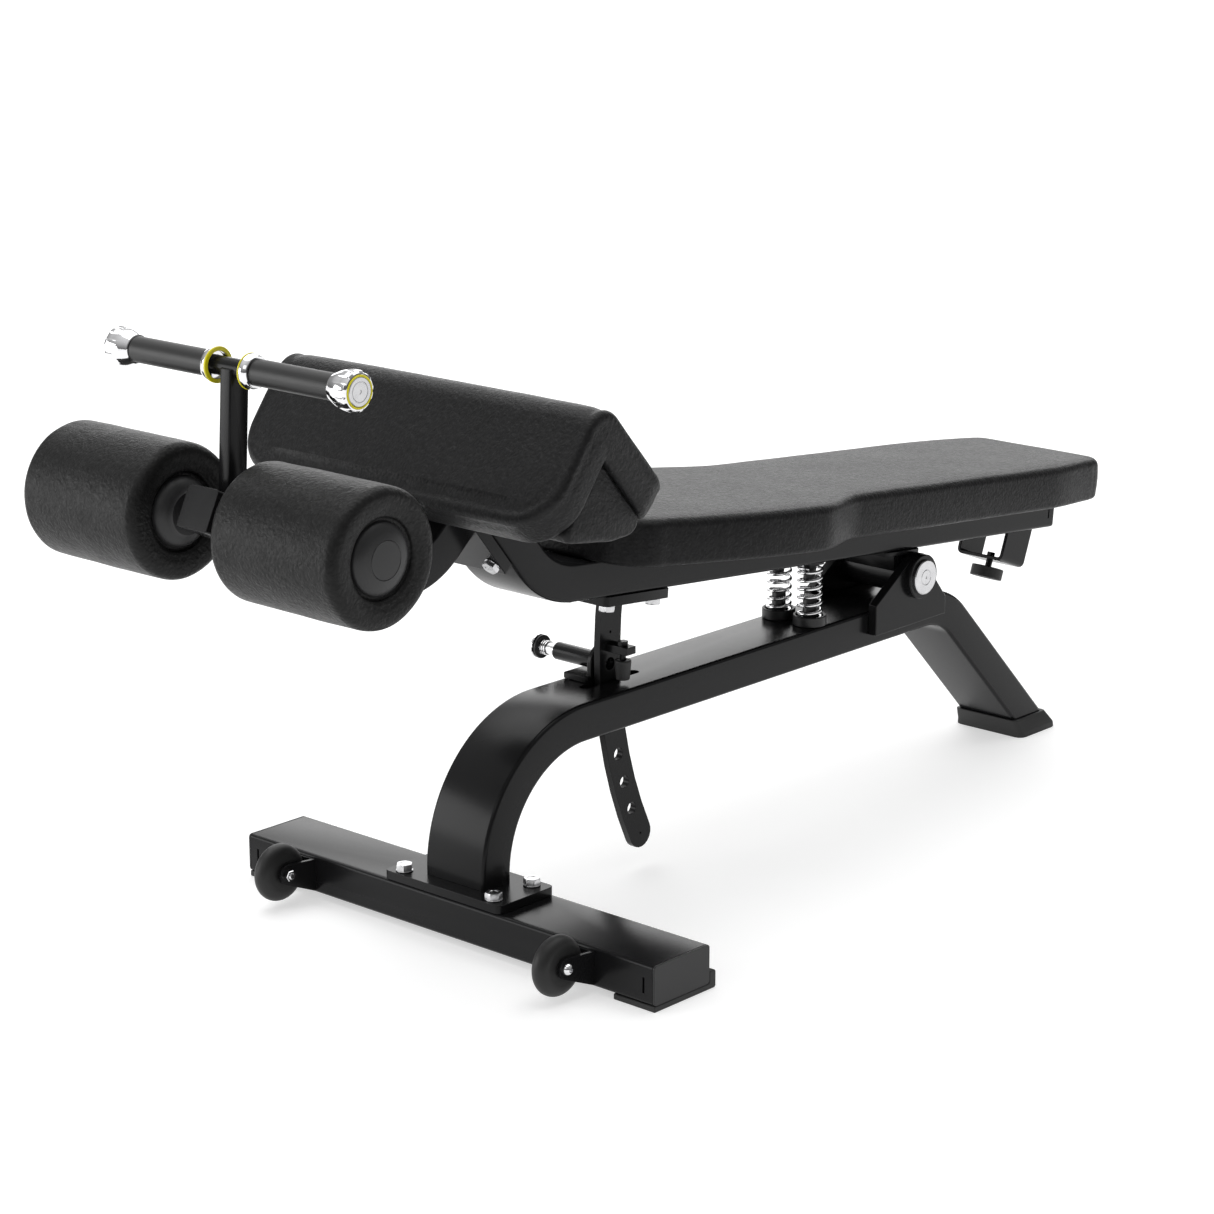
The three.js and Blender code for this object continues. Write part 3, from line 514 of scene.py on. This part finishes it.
# transport wheels: soft round tyre on a plain centre, bolt with a dished head and a nut
for tag, s in (("left", 1), ("right", -1)):
    at = (-48.3, s * 240, 45.2)
    tyre = [(9, -11.2), (14, -12.4), (19, -12.0), (22, -12.3)]
    for i in range(21):
        a = -Q * 0.95 + i * Q * 1.9 / 20
        tyre.append((25.3 + 12.2 * math.cos(a), 12.4 * math.sin(a)))
    tyre += [(22, 12.3), (19, 12.0), (14, 12.4), (9, 11.2), (4.4, 11.2), (4.4, -11.2), (9, -11.2)]
    lathe("wheel_" + tag + "_tyre", tyre, at, "Y", TYRE, "wheel_" + tag + "_body", ("wheel_" + tag,),
          80, sharp=50)
    bolt = [(0, 19.2), (2.6, 19.2), (3.2, 23), (5.2, 21.9), (6.9, 19.5), (7.2, 17.3), (4, 17.3),
            (4, -24.6), (3.2, -25.6), (0, -25.6)]
    lathe("wheel_bolt_" + tag + "_pin", mirrored(bolt, s), at, "Y", CHROME, FLOOR,
          ("wheel_bolt_" + tag,), 36)
    nut_place = Matrix.Translation(P(at[0], at[1] - s * 17.3, at[2])) @ Matrix.Rotation(s * Q, 4, "X")
    R = 13 / math.sqrt(3)
    steps = ((R * 0.9, 0), (R, 0.9), (R, 5.2), (R * 0.9, 6.2), (4.0, 6.2))
    v, f = loft([hex_ring(nut_place, r, h) for r, h in steps])
    finish("wheel_nut_" + tag, v, f, CHROME, FLOOR, sharp=28)

# latch: pull pin with its ribbed neck and knob
PIN = (308.0, 0, 290.9)
ribs = []
for i in range(3):
    y = 101 + 3.5 * i
    ribs += [(8.4, y), (9.3, y + 0.5), (9.6, y + 1.2), (9.6, y + 2.2), (9.3, y + 2.9)]
pin = [(0, 5.7), (6.1, 5.7), (7.4, 7.6), (7.7, 9.2), (7.7, 101)] + ribs
pin += [(8.4, 112), (9.3, 112), (9.3, 117.7), (0, 117.7)]
lathe("pull_pin_body", pin, PIN, "Y", CHROME, "pin", ("pull_pin",), 56)
knob = [(9.4, 111.6), (14.6, 111.6), (15.6, 112.6), (15.6, 114.6), (14.4, 115.6), (13.2, 116.2),
        (13.2, 117.7), (9.4, 117.7), (9.4, 111.6)]
rim = [(11.2, 119.5), (11.2, 117.8), (14.9, 117.8), (15.6, 118.5), (15.6, 120.6), (14.6, 121.5),
       (12.2, 121.5), (11.2, 120.7), (11.2, 119.5)]
knob_face = [(0, 117.8), (11.1, 117.8), (11.1, 120.3), (0, 120.7)]
lathe("pull_pin_knob", knob, PIN, "Y", PLASTIC, "pin", seg=56)
lathe("pull_pin_rim", rim, PIN, "Y", CHROME, "pin", seg=56)
lathe("pull_pin_face", knob_face, PIN, "Y", PLASTIC, "pin", seg=56)


# springs: closed end coils, open in the middle
SPRING_X, SPRING_Y = 690, 27


def spring(name, x, y, z0, z1, r, wire, turns, node):
    """a coil of radius r between two heights; its first and last turns lie close"""
    rings = []
    per, sides = 44, 12
    total = int(turns * per)
    free = (z1 - z0) - 2 * 1.15 * wire * 2
    for i in range(total + 1):
        q = i / per
        if q < 1:
            z = z0 + q * wire * 2.3
        elif q > turns - 1:
            z = z1 - (turns - q) * wire * 2.3
        else:
            z = z0 + wire * 2.3 + (q - 1) / (turns - 2) * free
        a = TAU * q
        c, s = math.cos(a), math.sin(a)
        ring = []
        for j in range(sides):
            b = TAU * j / sides
            o, u = wire * math.cos(b), wire * math.sin(b)
            ring.append(P(x + (r + o) * c, y + (r + o) * s, z + u))
        rings.append(ring)
    v, f = loft(rings)
    return finish(name, v, f, CHROME, FLOOR, (node,), sharp=60)


for tag, s in (("left", 1), ("right", -1)):
    spring("spring_" + tag + "_coil", SPRING_X, s * SPRING_Y, 273.9, 349.0, 15.6, 2.3, 7.6, "spring_" + tag)
    cup = [(0, 0.3), (22, 0.3), (23, 1.2), (23, 13), (22, 14), (20, 14), (19, 13.2), (19, 3.3),
           (9.5, 3.3), (9.5, 37), (8, 40), (0, 40)]
    lathe("spring_cup_" + tag + "_seat", cup, (SPRING_X, s * SPRING_Y, 268), "Z", PLASTIC, FLOOR,
          ("spring_cup_" + tag,), 56)

# ------------------------------------------------------------------ tilting seat frame
TILT = math.radians(5.28)        # slope of the seat frame at rest
FRAME_TURN = math.radians(45.7)  # upturn at the roller end
KNEE_X, KNEE_Z = 39, 542.5       # middle of the knee pad's plate
KNEE_SLOPE = math.radians(8.5)


def on_frame(u, y, w):
    """along the seat frame, across, up from its underside"""
    return P(250 + u * math.cos(TILT) + w * math.sin(TILT), y, 398 - u * math.sin(TILT) + w * math.cos(TILT))


frame_path = [(985.8, 25, 2 * Q)] + bend(-57.2, 140, 115, 2 * Q, 2 * Q - FRAME_TURN, 30)
bx, bz, bh = frame_path[-1]
frame_path.append((bx + 160 * math.cos(bh), bz + 160 * math.sin(bh), bh))
v, f = swept(frame_path, tube, on_frame)
knee_up = Vector((math.sin(KNEE_SLOPE), 0, math.cos(KNEE_SLOPE)))
v, f = keep_below(v, f, P(KNEE_X, 0, KNEE_Z) - knee_up * 0.0056, knee_up)
rail = finish("seat_frame_rail", v, f, POWDER, SEAT, ("seat_frame",))
for s in (-1, 1):
    slit = ((973.8, 14), (976.8, 14), (976.8, 36), (973.8, 36))
    v, f = loft([[on_frame(u, s * y, w) for u, w in slit] for y in (47, 52)])
    carve(rail, v, f)


def at_knee(x, y, z):
    """on the knee pad's seat plate: along, across, up from its face"""
    c, s = math.cos(KNEE_SLOPE), math.sin(KNEE_SLOPE)
    return P(KNEE_X + x * c + z * s, y, KNEE_Z - x * s + z * c)


plate = [(x - 3, y) for x, y in rounded(77, 75, 8)]
v, f = loft([[at_knee(x, y, z) for x, y in plate] for z in (-6, -0.3)])
bevel(finish("knee_plate", v, f, POWDER, SEAT), 0.8)

edge_widths = {"selector": 0.7, "stop_bar": 0.5, "pivot_hub": 0.8, "end_bracket": 0.9,
               "end_screw": 0.3, "handle_post": 0.8, "roller_axle": 0.3}
for node, w in edge_widths.items():
    cad_copy(node, POWDER, width=w)
cad_copy("seat_frame_cap", PLASTIC, width=0.6)
cad_copy("spring_guide", PLASTIC, width=0.6)
cad_copy("stop_rubber", RUBBER, width=0.8, angle=30)
cad_copy("end_disc", RUBBER, width=1.0, angle=30)

k = 1
for u in (20, 107):
    for y in (-35, 35):
        place = Matrix.Translation(on_frame(u, y, -13.3))
        place = place @ Matrix.Rotation(TILT, 4, "Y") @ Matrix.Rotation(2 * Q, 4, "X")
        hex_bolt("selector_bolt_%d" % k, place @ Matrix.Rotation(0.4 * k, 4, "Z"), SEAT, head=7, shank=11)
        k += 1

# arm to the rollers with its flange and closed end
arm_start, arm_end = math.radians(221), math.radians(154)
arm_bend = bend(-70.2, 588, 105, arm_start, arm_end, 32)
bend_x, bend_z, _ = arm_bend[0]
ARM_LEAD = 48                    # straight run into the bend, trimmed at the flange
arm_path = [(bend_x - ARM_LEAD * math.cos(arm_start), bend_z - ARM_LEAD * math.sin(arm_start), arm_start)]
arm_path += arm_bend + [(-370, 617, arm_end)]
face = 2 * Q - FRAME_TURN - TILT + Q


def at_flange(x, y, z):
    """out from the plate under the upturned frame, across, along it"""
    return P(79 + x * math.cos(face) - z * math.sin(face), y, 477 + x * math.sin(face) + z * math.cos(face))


out = (at_flange(1, 0, 0) - at_flange(0, 0, 0)).normalized()
v, f = swept(arm_path, rounded(25, 25, 4))
v, f = keep_below(v, f, at_flange(8, 0, 0), -out)
bevel(finish("roller_arm_tube", v, f, POWDER, SEAT, ("roller_arm",)), 0.7, 2, 50)
flange = [(y, z - 36) for y, z in rounded(50, 42, 4)]
v, f = loft([[at_flange(x, y, z) for y, z in flange] for x in (0.3, 16)])
bevel(finish("roller_arm_flange", v, f, POWDER, SEAT), 1.0)
for tag, s in (("left", 1), ("right", -1)):
    basis = Matrix((out, Vector((0, 1, 0)), out.cross(Vector((0, 1, 0))))).transposed().to_4x4()
    swap = Matrix(((0, 0, 1, 0), (0, 1, 0, 0), (-1, 0, 0, 0), (0, 0, 0, 1)))
    place = Matrix.Translation(at_flange(16.3, s * 38, -12)) @ basis @ swap
    hex_bolt("arm_bolt_" + tag, place, SEAT, head=6, washer=10.5, shank=15)

# ------------------------------------------------------------------ rollers
RX, RZ, RR = -334, 595.3, 79.2   # axis and radius
RA, RB = 62.5, 258.8             # inner and outer end, from the middle plane
SHOULDER = 12.5


def uneven(seed, size):
    """slow dents in the foam's surface"""
    def shape(r, h, a):
        if r < 40:
            return r
        p = Vector((math.cos(a) * r / 34 + seed, math.sin(a) * r / 34, h / 42))
        return r + size * noise.noise(p)
    return shape


def roller_end(b, sign, depth=9):
    """rounded shoulder, a soft lip and the recess round the hub, from the outside in"""
    R = SHOULDER
    pts = []
    for i in range(13):
        a = i * Q / 12
        pts.append((RR - R + R * math.cos(a), b - sign * (R - R * math.sin(a))))
    pts += [(60, b - sign * 0.3), (56, b - sign * 1.0), (52.5, b - sign * 2.2)]
    for i in range(1, 7):
        a = i * Q / 6
        pts.append((52.5 - 7 * math.sin(a), b - sign * (2.2 + 5 - 5 * math.cos(a))))
    pts += [(44.4, b - sign * (depth - 0.5)), (42.2, b - sign * depth), (14.3, b - sign * depth)]
    return pts


for tag, s in (("left", 1), ("right", -1)):
    body = "roller_" + tag + "_body"
    run = RB - RA - 2 * SHOULDER
    middle = [(RR + 0.35 * math.sin(math.pi * i / 26), RB - SHOULDER - run * i / 26)
              for i in range(1, 26)]
    prof = list(reversed(roller_end(RB, 1))) + middle + roller_end(RA, -1)
    prof.append(prof[0])
    at = (RX, 0, RZ)
    o = lathe("roller_" + tag + "_foam", mirrored(prof, s), at, "Y", FOAM, body, ("roller_" + tag,),
              120, uneven(3 + s, 0.55), 80)
    dome = [(0, RB + 2.6), (10, RB + 2.5), (21.2, RB + 2.0), (21.8, RB + 1.3), (22.4, RB + 1.9),
            (29, RB + 0.6), (35, RB - 1.8), (39.5, RB - 5), (41.4, RB - 7.6), (41.9, RB - 9.6),
            (14, RB - 9.6), (10.3, RB - 9.6), (10.3, RB - 8), (0, RB - 8)]
    lathe("roller_cap_" + tag, mirrored(dome, s), at, "Y", HUB, body, ("roller_hub_" + tag,), 96,
          None, 30)
    inner = [(10.3, RA - 8), (25, RA - 7.6), (26.4, RA - 6), (30, RA - 4.4), (35.5, RA - 0.8),
             (39.6, RA + 3.4), (41.6, RA + 8.6), (14, RA + 8.7), (14, RB - 10), (10.3, RB - 10),
             (10.3, RA - 8)]
    lathe("roller_bush_" + tag, mirrored(inner, s), at, "Y", HUB, body, (), 96, None, 30)

# ------------------------------------------------------------------ hand grips
BX, BZ = -309, 765.5


def notched(r, h, a):
    """the cap's rim is cut into broad teeth"""
    if r < 21 or abs(h) < 183:
        return r
    wave = math.cos(9 * a)
    return r - 1.5 * min(1, max(0, (0.25 - wave) * 3))


for tag, s in (("left", 1), ("right", -1)):
    at = (BX, 0, BZ)
    grip = [(11.3, 38.6), (14.3, 38.6), (15.2, 39.6), (15.2, 162.5), (14.3, 163.5), (11.3, 163.5),
            (11.3, 38.6)]
    lathe("grip_" + tag + "_sleeve", mirrored(grip, s), at, "Y", GRIP, SEAT, ("grip_" + tag,), 64)
    ring = [(11.3, 30.4), (15.6, 30.4), (15.6, 28.6), (19.9, 28.6), (20.5, 29.4), (20.3, 32),
            (18.6, 37.2), (17.4, 38.3), (11.3, 38.3), (11.3, 30.4)]
    lathe("grip_collar_" + tag + "_ring", mirrored(ring, s), at, "Y", CHROME, SEAT,
          ("grip_collar_" + tag,), 72)
    band = [(15.7, 28.3), (15.7, 26.6), (16.3, 26), (20.2, 26), (20.8, 26.6), (20.8, 28.3), (15.7, 28.3)]
    lathe("grip_band_" + tag, mirrored(band, s), at, "Y", YELLOW, SEAT, seg=72)
    cone = [(0, 187), (11.3, 187), (11.3, 163.8), (16, 163.8), (16.8, 164.4), (18, 167.5),
            (20.3, 173), (22, 179), (22.9, 184), (23.4, 189), (23.4, 194.4), (22.6, 196.6),
            (20.6, 198.2), (19.2, 198.6), (19.2, 196), (0, 196)]
    lathe("grip_cap_" + tag + "_cone", mirrored(cone, s), at, "Y", CHROME, SEAT, ("grip_cap_" + tag,),
          144, notched, 30)
    trim = [(16.6, 196.3), (18.9, 196.3), (18.9, 199.2), (18.3, 199.8), (17.2, 199.8), (16.6, 199.2),
            (16.6, 196.3)]
    lathe("grip_trim_" + tag, mirrored(trim, s), at, "Y", YELLOW, SEAT, seg=72)
    disc = [(0, 198.8), (2.2, 198.8), (2.5, 199.6), (10.6, 199.6), (11, 198.9), (11.5, 198.9),
            (11.9, 199.8), (15.6, 199.8), (16.3, 199.2), (16.3, 196.3), (0, 196.3)]
    lathe("grip_disc_" + tag, mirrored(disc, s), at, "Y", SILVER, SEAT, seg=72)


# ------------------------------------------------------------------ cushions
def cushion(name, side, across, edge, place, crown, mat, node):
    """a stuffed slab on the seat

    side: (u, half width) from one end to the other. across: cells over the width.
    edge: (inset, depth) from the face round to the back. place(u, y, t) puts a point of the slab
    at depth t under its face. crown(u, y, q) lifts the face.
    """
    n = len(side)
    ring = [(u, y) for u, y in side]
    u1, y1 = side[-1]
    ring += [(u1, y1 - 2 * y1 * j / across) for j in range(1, across)]
    ring += [(u, -y) for u, y in reversed(side)]
    u0, y0 = side[0]
    ring += [(u0, -y0 + 2 * y0 * j / across) for j in range(1, across)]
    N = len(ring)
    normals = []
    for i in range(N):
        (ax, ay), (bx_, by_) = ring[i - 1], ring[(i + 1) % N]
        d = Vector((bx_ - ax, by_ - ay)).normalized()
        normals.append(Vector((d.y, -d.x)))
    area = sum(ring[i - 1][0] * ring[i][1] - ring[i][0] * ring[i - 1][1] for i in range(N))
    flip = -1 if area > 0 else 1
    inward = [m * flip for m in normals]

    def inset(d):
        return [(p[0] + m.x * d, p[1] + m.y * d) for p, m in zip(ring, inward)]

    verts, faces = [], []
    rows = []
    for d, t in edge:
        rows.append(range(len(verts), len(verts) + N))
        verts += [place(u, y, t) for u, y in inset(d)]
    for a, b in zip(rows, rows[1:]):
        for j in range(N):
            k = (j + 1) % N
            faces.append((a[j], a[k], b[k], b[j]))
    for which, (d, t) in ((0, edge[0]), (1, edge[-1])):
        pts = inset(d)
        base = rows[0 if which == 0 else -1]
        grid = []
        for i in range(n):
            lo, hi = pts[i], pts[n + across - 1 + (n - 1 - i)]
            row = [base[i]]
            for j in range(1, across):
                q = j / across
                if i == n - 1:
                    row.append(base[n + j - 1])
                elif i == 0:
                    row.append(base[N - j])
                else:
                    u, y = lo[0], lo[1] + (hi[1] - lo[1]) * q
                    verts.append(place(u, y, t - (crown(u, y, 2 * q - 1) if which == 0 else 0)))
                    row.append(len(verts) - 1)
            row.append(base[n + across - 1 + (n - 1 - i)])
            grid.append(row)
        for a, b in zip(grid, grid[1:]):
            for j in range(across):
                faces.append((a[j], a[j + 1], b[j + 1], b[j]))
    return finish(name, verts, faces, mat, SEAT, (node,), 80)


def dent(p, size, scale):
    """slow unevenness of hand-covered foam"""
    return size * noise.noise(Vector(p) / scale)


def ease(t):
    t = min(1, max(0, t))
    return t * t * (3 - 2 * t)


# seat pad
PAD_0, PAD_1, PAD_T = -38, 1015, 62.0


def pad_half(u):
    front = 128 + 40 * math.sin(min(1, max(0, (u - 15) / 285)) * Q)
    step = ease((u - 285) / 120)
    tail = 18 * ease((u - 850) / 165)
    return front + (134 - front) * step - tail


seat_side = []
for i in range(13):
    a = Q * i / 12
    seat_side.append((PAD_0 + 58 * (1 - math.cos(a)), pad_half(20) - 62 + 62 * math.sin(a)))
u = 26
while u < PAD_1 - 36:
    seat_side.append((u, pad_half(u)))
    u += 8
for i in range(11):
    a = Q - Q * i / 10
    seat_side.append((PAD_1 - 34 + 34 * math.cos(a), pad_half(1000) - 30 + 30 * math.sin(a)))

seat_edge = [(17, 0.7)]
for i in range(10):
    a = Q * i / 9
    seat_edge.append((12.5 - 12.5 * math.sin(a), 1.6 + 12.5 - 12.5 * math.cos(a)))
seat_edge += [(-0.7, 22), (-1.1, 31), (-0.9, 42), (-0.3, 50)]
for i in range(6):
    a = Q * i / 5
    seat_edge.append((7 - 7 * math.cos(a), 54.5 + 7 * math.sin(a)))
seat_edge += [(14, PAD_T - 0.3)]


def seat_place(u, y, t):
    t = t + (dent((u, y, t), 0.5, 70) if t < 50 else 0)
    return on_frame(u, y, 50.3 + PAD_T - t)


def seat_crown(u, y, q):
    ends = 1 - abs((u - 488) / 527) ** 6
    return 1.9 * max(0, 1 - q ** 4) * max(0, ends)


seat_pad = cushion("seat_pad_cushion", seat_side, 26, seat_edge, seat_place, seat_crown, VINYL,
                   "seat_pad")

# knee pad: a thick slab folded over a ridge, with a core filling the fold
FRONT, BACK = math.radians(53.1), math.radians(-48.9)
APEX = (16.2, 722.0)
RIDGE = 32.0
half_fold = math.radians(39)
centre = (APEX[0] - 1.2, APEX[1] - RIDGE / math.sin(half_fold))
KNEE_T = 48.0
S_FRONT, S_BACK = 162.6, 166.0
fold_in = (centre[0] + 0.8, centre[1] - 29)     # where the wings' inner faces meet


def outer(s):
    """point and outward normal of the folded face; s runs from the ridge, negative down the front"""
    reach = RIDGE * (math.pi - 2 * half_fold) / 2
    if s < -reach:
        n = (math.cos(FRONT + Q), math.sin(FRONT + Q))
        d = (-math.cos(FRONT), -math.sin(FRONT))
        k = -s - reach
    elif s > reach:
        n = (math.cos(BACK + Q), math.sin(BACK + Q))
        d = (math.cos(BACK), math.sin(BACK))
        k = s - reach
    else:
        a = FRONT + Q + (BACK - FRONT) * (s + reach) / (2 * reach)
        n, d, k = (math.cos(a), math.sin(a)), (0, 0), 0
    return (centre[0] + RIDGE * n[0] + d[0] * k, centre[1] + RIDGE * n[1] + d[1] * k), n


def inner(s):
    """the point of the wings' inner faces that lies under s"""
    x = abs(s)
    k = x - 48.7 * (1 - math.exp(-x / 52))
    ang = FRONT if s < 0 else BACK
    d = (-math.cos(FRONT), -math.sin(FRONT)) if s < 0 else (math.cos(BACK), math.sin(BACK))
    return (fold_in[0] + d[0] * k, fold_in[1] + d[1] * k)


def knee_place(s, y, t):
    (px_, pz_), n = outer(s)
    ix, iz = inner(s)
    t = t + (dent((s, y, t + 300), 0.6, 60) if t < 40 else 0)
    q = t / KNEE_T
    if q <= 0:
        return P(px_ - n[0] * t, y, pz_ - n[1] * t)
    return P(px_ + (ix - px_) * q, y, pz_ + (iz - pz_) * q)


knee_side = []
R1, R2, H = 62.0, 34.0, 262.0    # front and rear corner radius, half width
for i in range(13):
    a = Q * i / 12
    knee_side.append((-S_FRONT + R1 - R1 * math.cos(a), H - R1 + R1 * math.sin(a)))
s_ = -S_FRONT + R1 + 5
while s_ < S_BACK - R2 - 3:
    knee_side.append((s_, H))
    s_ += 4.5
for i in range(13):
    a = Q - Q * i / 12
    knee_side.append((S_BACK - R2 + R2 * math.cos(a), H - R2 + R2 * math.sin(a)))

knee_edge = [(30, -0.2), (22, 0.6), (17.5, 1.5), (14, 1.5), (11.5, 0.9)]
for i in range(9):
    a = Q * i / 8
    knee_edge.append((9 - 9 * math.sin(a), 0.6 + 9 - 9 * math.cos(a)))
knee_edge += [(0.5, 12), (0.1, 17), (-0.7, 24), (-0.6, 33), (0, 38)]
for i in range(6):
    a = Q * i / 5
    knee_edge.append((8 - 8 * math.cos(a), 40 + 7.6 * math.sin(a)))
knee_edge += [(14, KNEE_T)]


def knee_crown(s, y, q):
    return 1.2 * max(0, 1 - q ** 4)


knee = cushion("knee_pad_cushion", knee_side, 40, knee_edge, knee_place, knee_crown, KNEE_VINYL,
               "knee_pad")

# the core is cut square at its ends and its rear flank bulges
def down_fold(k, ang, out):
    """a point k below the fold on a wing's inner face, pushed out into the wing"""
    side_ = 1 if ang < 0 else -1
    return (fold_in[0] + side_ * (math.cos(ang) * k) - out * math.sin(ang),
            fold_in[1] - abs(math.sin(ang)) * k + out * math.cos(ang))


core = [down_fold(k, BACK, 2.0) for k in (2, 20, 40, 60, 80, 94)]
core += [(85, 561), (79, 550), (68, 545.2), (52, 544.6), (39, 543.2), (14, 547), (-14, 551), (-38, 554.8)]
core += [down_fold(k, FRONT, 2.0) for k in (96, 78, 58, 38, 18)]


def smooth_loop(pts, rounds=2):
    """cuts the corners of a closed outline"""
    for _ in range(rounds):
        new = []
        for i, p in enumerate(pts):
            q = pts[(i + 1) % len(pts)]
            new.append((0.75 * p[0] + 0.25 * q[0], 0.75 * p[1] + 0.25 * q[1]))
            new.append((0.25 * p[0] + 0.75 * q[0], 0.25 * p[1] + 0.75 * q[1]))
        pts = new
    return pts


core = smooth_loop(core)
mid = (sum(p[0] for p in core) / len(core), sum(p[1] for p in core) / len(core))
rings = []
reach = 252.5
steps = [(-reach, 7)]
for i in range(1, 6):
    a = Q * i / 5
    steps.append((-reach + 7 - 7 * math.cos(a), 7 - 7 * math.sin(a)))
steps += [(y, 0) for y in range(-225, 226, 25)]
steps += [(-y, d) for y, d in reversed(steps[:6])]
for y, d in steps:
    ring = []
    for x, z in core:
        k = 1 - d / max(20, math.hypot(x - mid[0], z - mid[1]))
        ring.append(P(mid[0] + (x - mid[0]) * k, y, mid[1] + (z - mid[1]) * k))
    rings.append(ring)
v, f = loft(rings)
o = finish("knee_pad_core", v, f, KNEE_VINYL, SEAT, sharp=60)

# ------------------------------------------------------------------ studio
bpy.ops.mesh.primitive_plane_add(size=60, location=(0, 0, 0))
ground = bpy.context.object
ground.name = "studio_floor"
m, t, s, co = new_material("studio_floor")
s.inputs["Base Color"].default_value = (0.62, 0.62, 0.62, 1)
s.inputs["Roughness"].default_value = 0.9
s.inputs["Specular IOR Level"].default_value = 0.1
s.inputs["Emission Color"].default_value = (1, 1, 1, 1)
s.inputs["Emission Strength"].default_value = 0.52
ground.data.materials.append(m)

world = bpy.data.worlds.new("studio")
bpy.context.scene.world = world
world.use_nodes = True
wt = world.node_tree
bg = wt.nodes["Background"]
sky = wt.nodes.new("ShaderNodeTexCoord")
split = wt.nodes.new("ShaderNodeSeparateXYZ")
wt.links.new(sky.outputs["Generated"], split.inputs["Vector"])
from_above = ranged(wt, split.outputs["Z"], 0.14, 0.85, 0.0, 0.9)
from_behind = ranged(wt, split.outputs["Y"], 0.45, 1.0, -0.9, 0.2)
wt.links.new(maths(wt, "MULTIPLY", from_above, from_behind), bg.inputs["Strength"])
bg.inputs["Color"].default_value = (1, 1, 1, 1)


def softbox(name, place, target, size, power):
    d = bpy.data.lights.new(name, "AREA")
    d.shape = "RECTANGLE"
    d.size, d.size_y = size
    d.energy = power
    o = bpy.data.objects.new(name, d)
    bpy.context.scene.collection.objects.link(o)
    o.location = place
    o.rotation_euler = (Vector(target) - Vector(place)).to_track_quat("-Z", "Y").to_euler()
    return o


sun = bpy.data.lights.new("overhead", "SUN")
sun.energy = 1.6
sun.angle = math.radians(70)
lamp = bpy.data.objects.new("overhead", sun)
bpy.context.scene.collection.objects.link(lamp)
lamp.rotation_euler = Vector((-0.25, -0.2, -1)).to_track_quat("-Z", "Y").to_euler()
softbox("backdrop", (3.4, 3.0, 1.7), (0, 0, 0.5), (5.0, 2.4), 68)
softbox("side", (-3.2, 2.6, 1.0), (-0.2, 0, 0.3), (2.6, 1.6), 46)
softbox("fill", (-3.4, -0.6, 2.4), (0, 0, 0.4), (2.0, 1.2), 7)

cam = bpy.data.cameras.new("camera")
cam.lens = 96.76
cam.sensor_width = 36
cam.clip_end = 100
view = bpy.data.objects.new("camera", cam)
bpy.context.scene.collection.objects.link(view)
az, el = math.radians(-48.097), math.radians(15.368)
behind = Vector((math.sin(az) * math.cos(el), -math.cos(az) * math.cos(el), math.sin(el)))
view.location = P(-2675.7, -2677.1, 1466.8)
view.rotation_mode = "QUATERNION"
view.rotation_quaternion = (-behind).to_track_quat("-Z", "Y")
bpy.context.scene.camera = view
bpy.context.scene.view_settings.view_transform = "Standard"

bpy.context.view_layer.update()
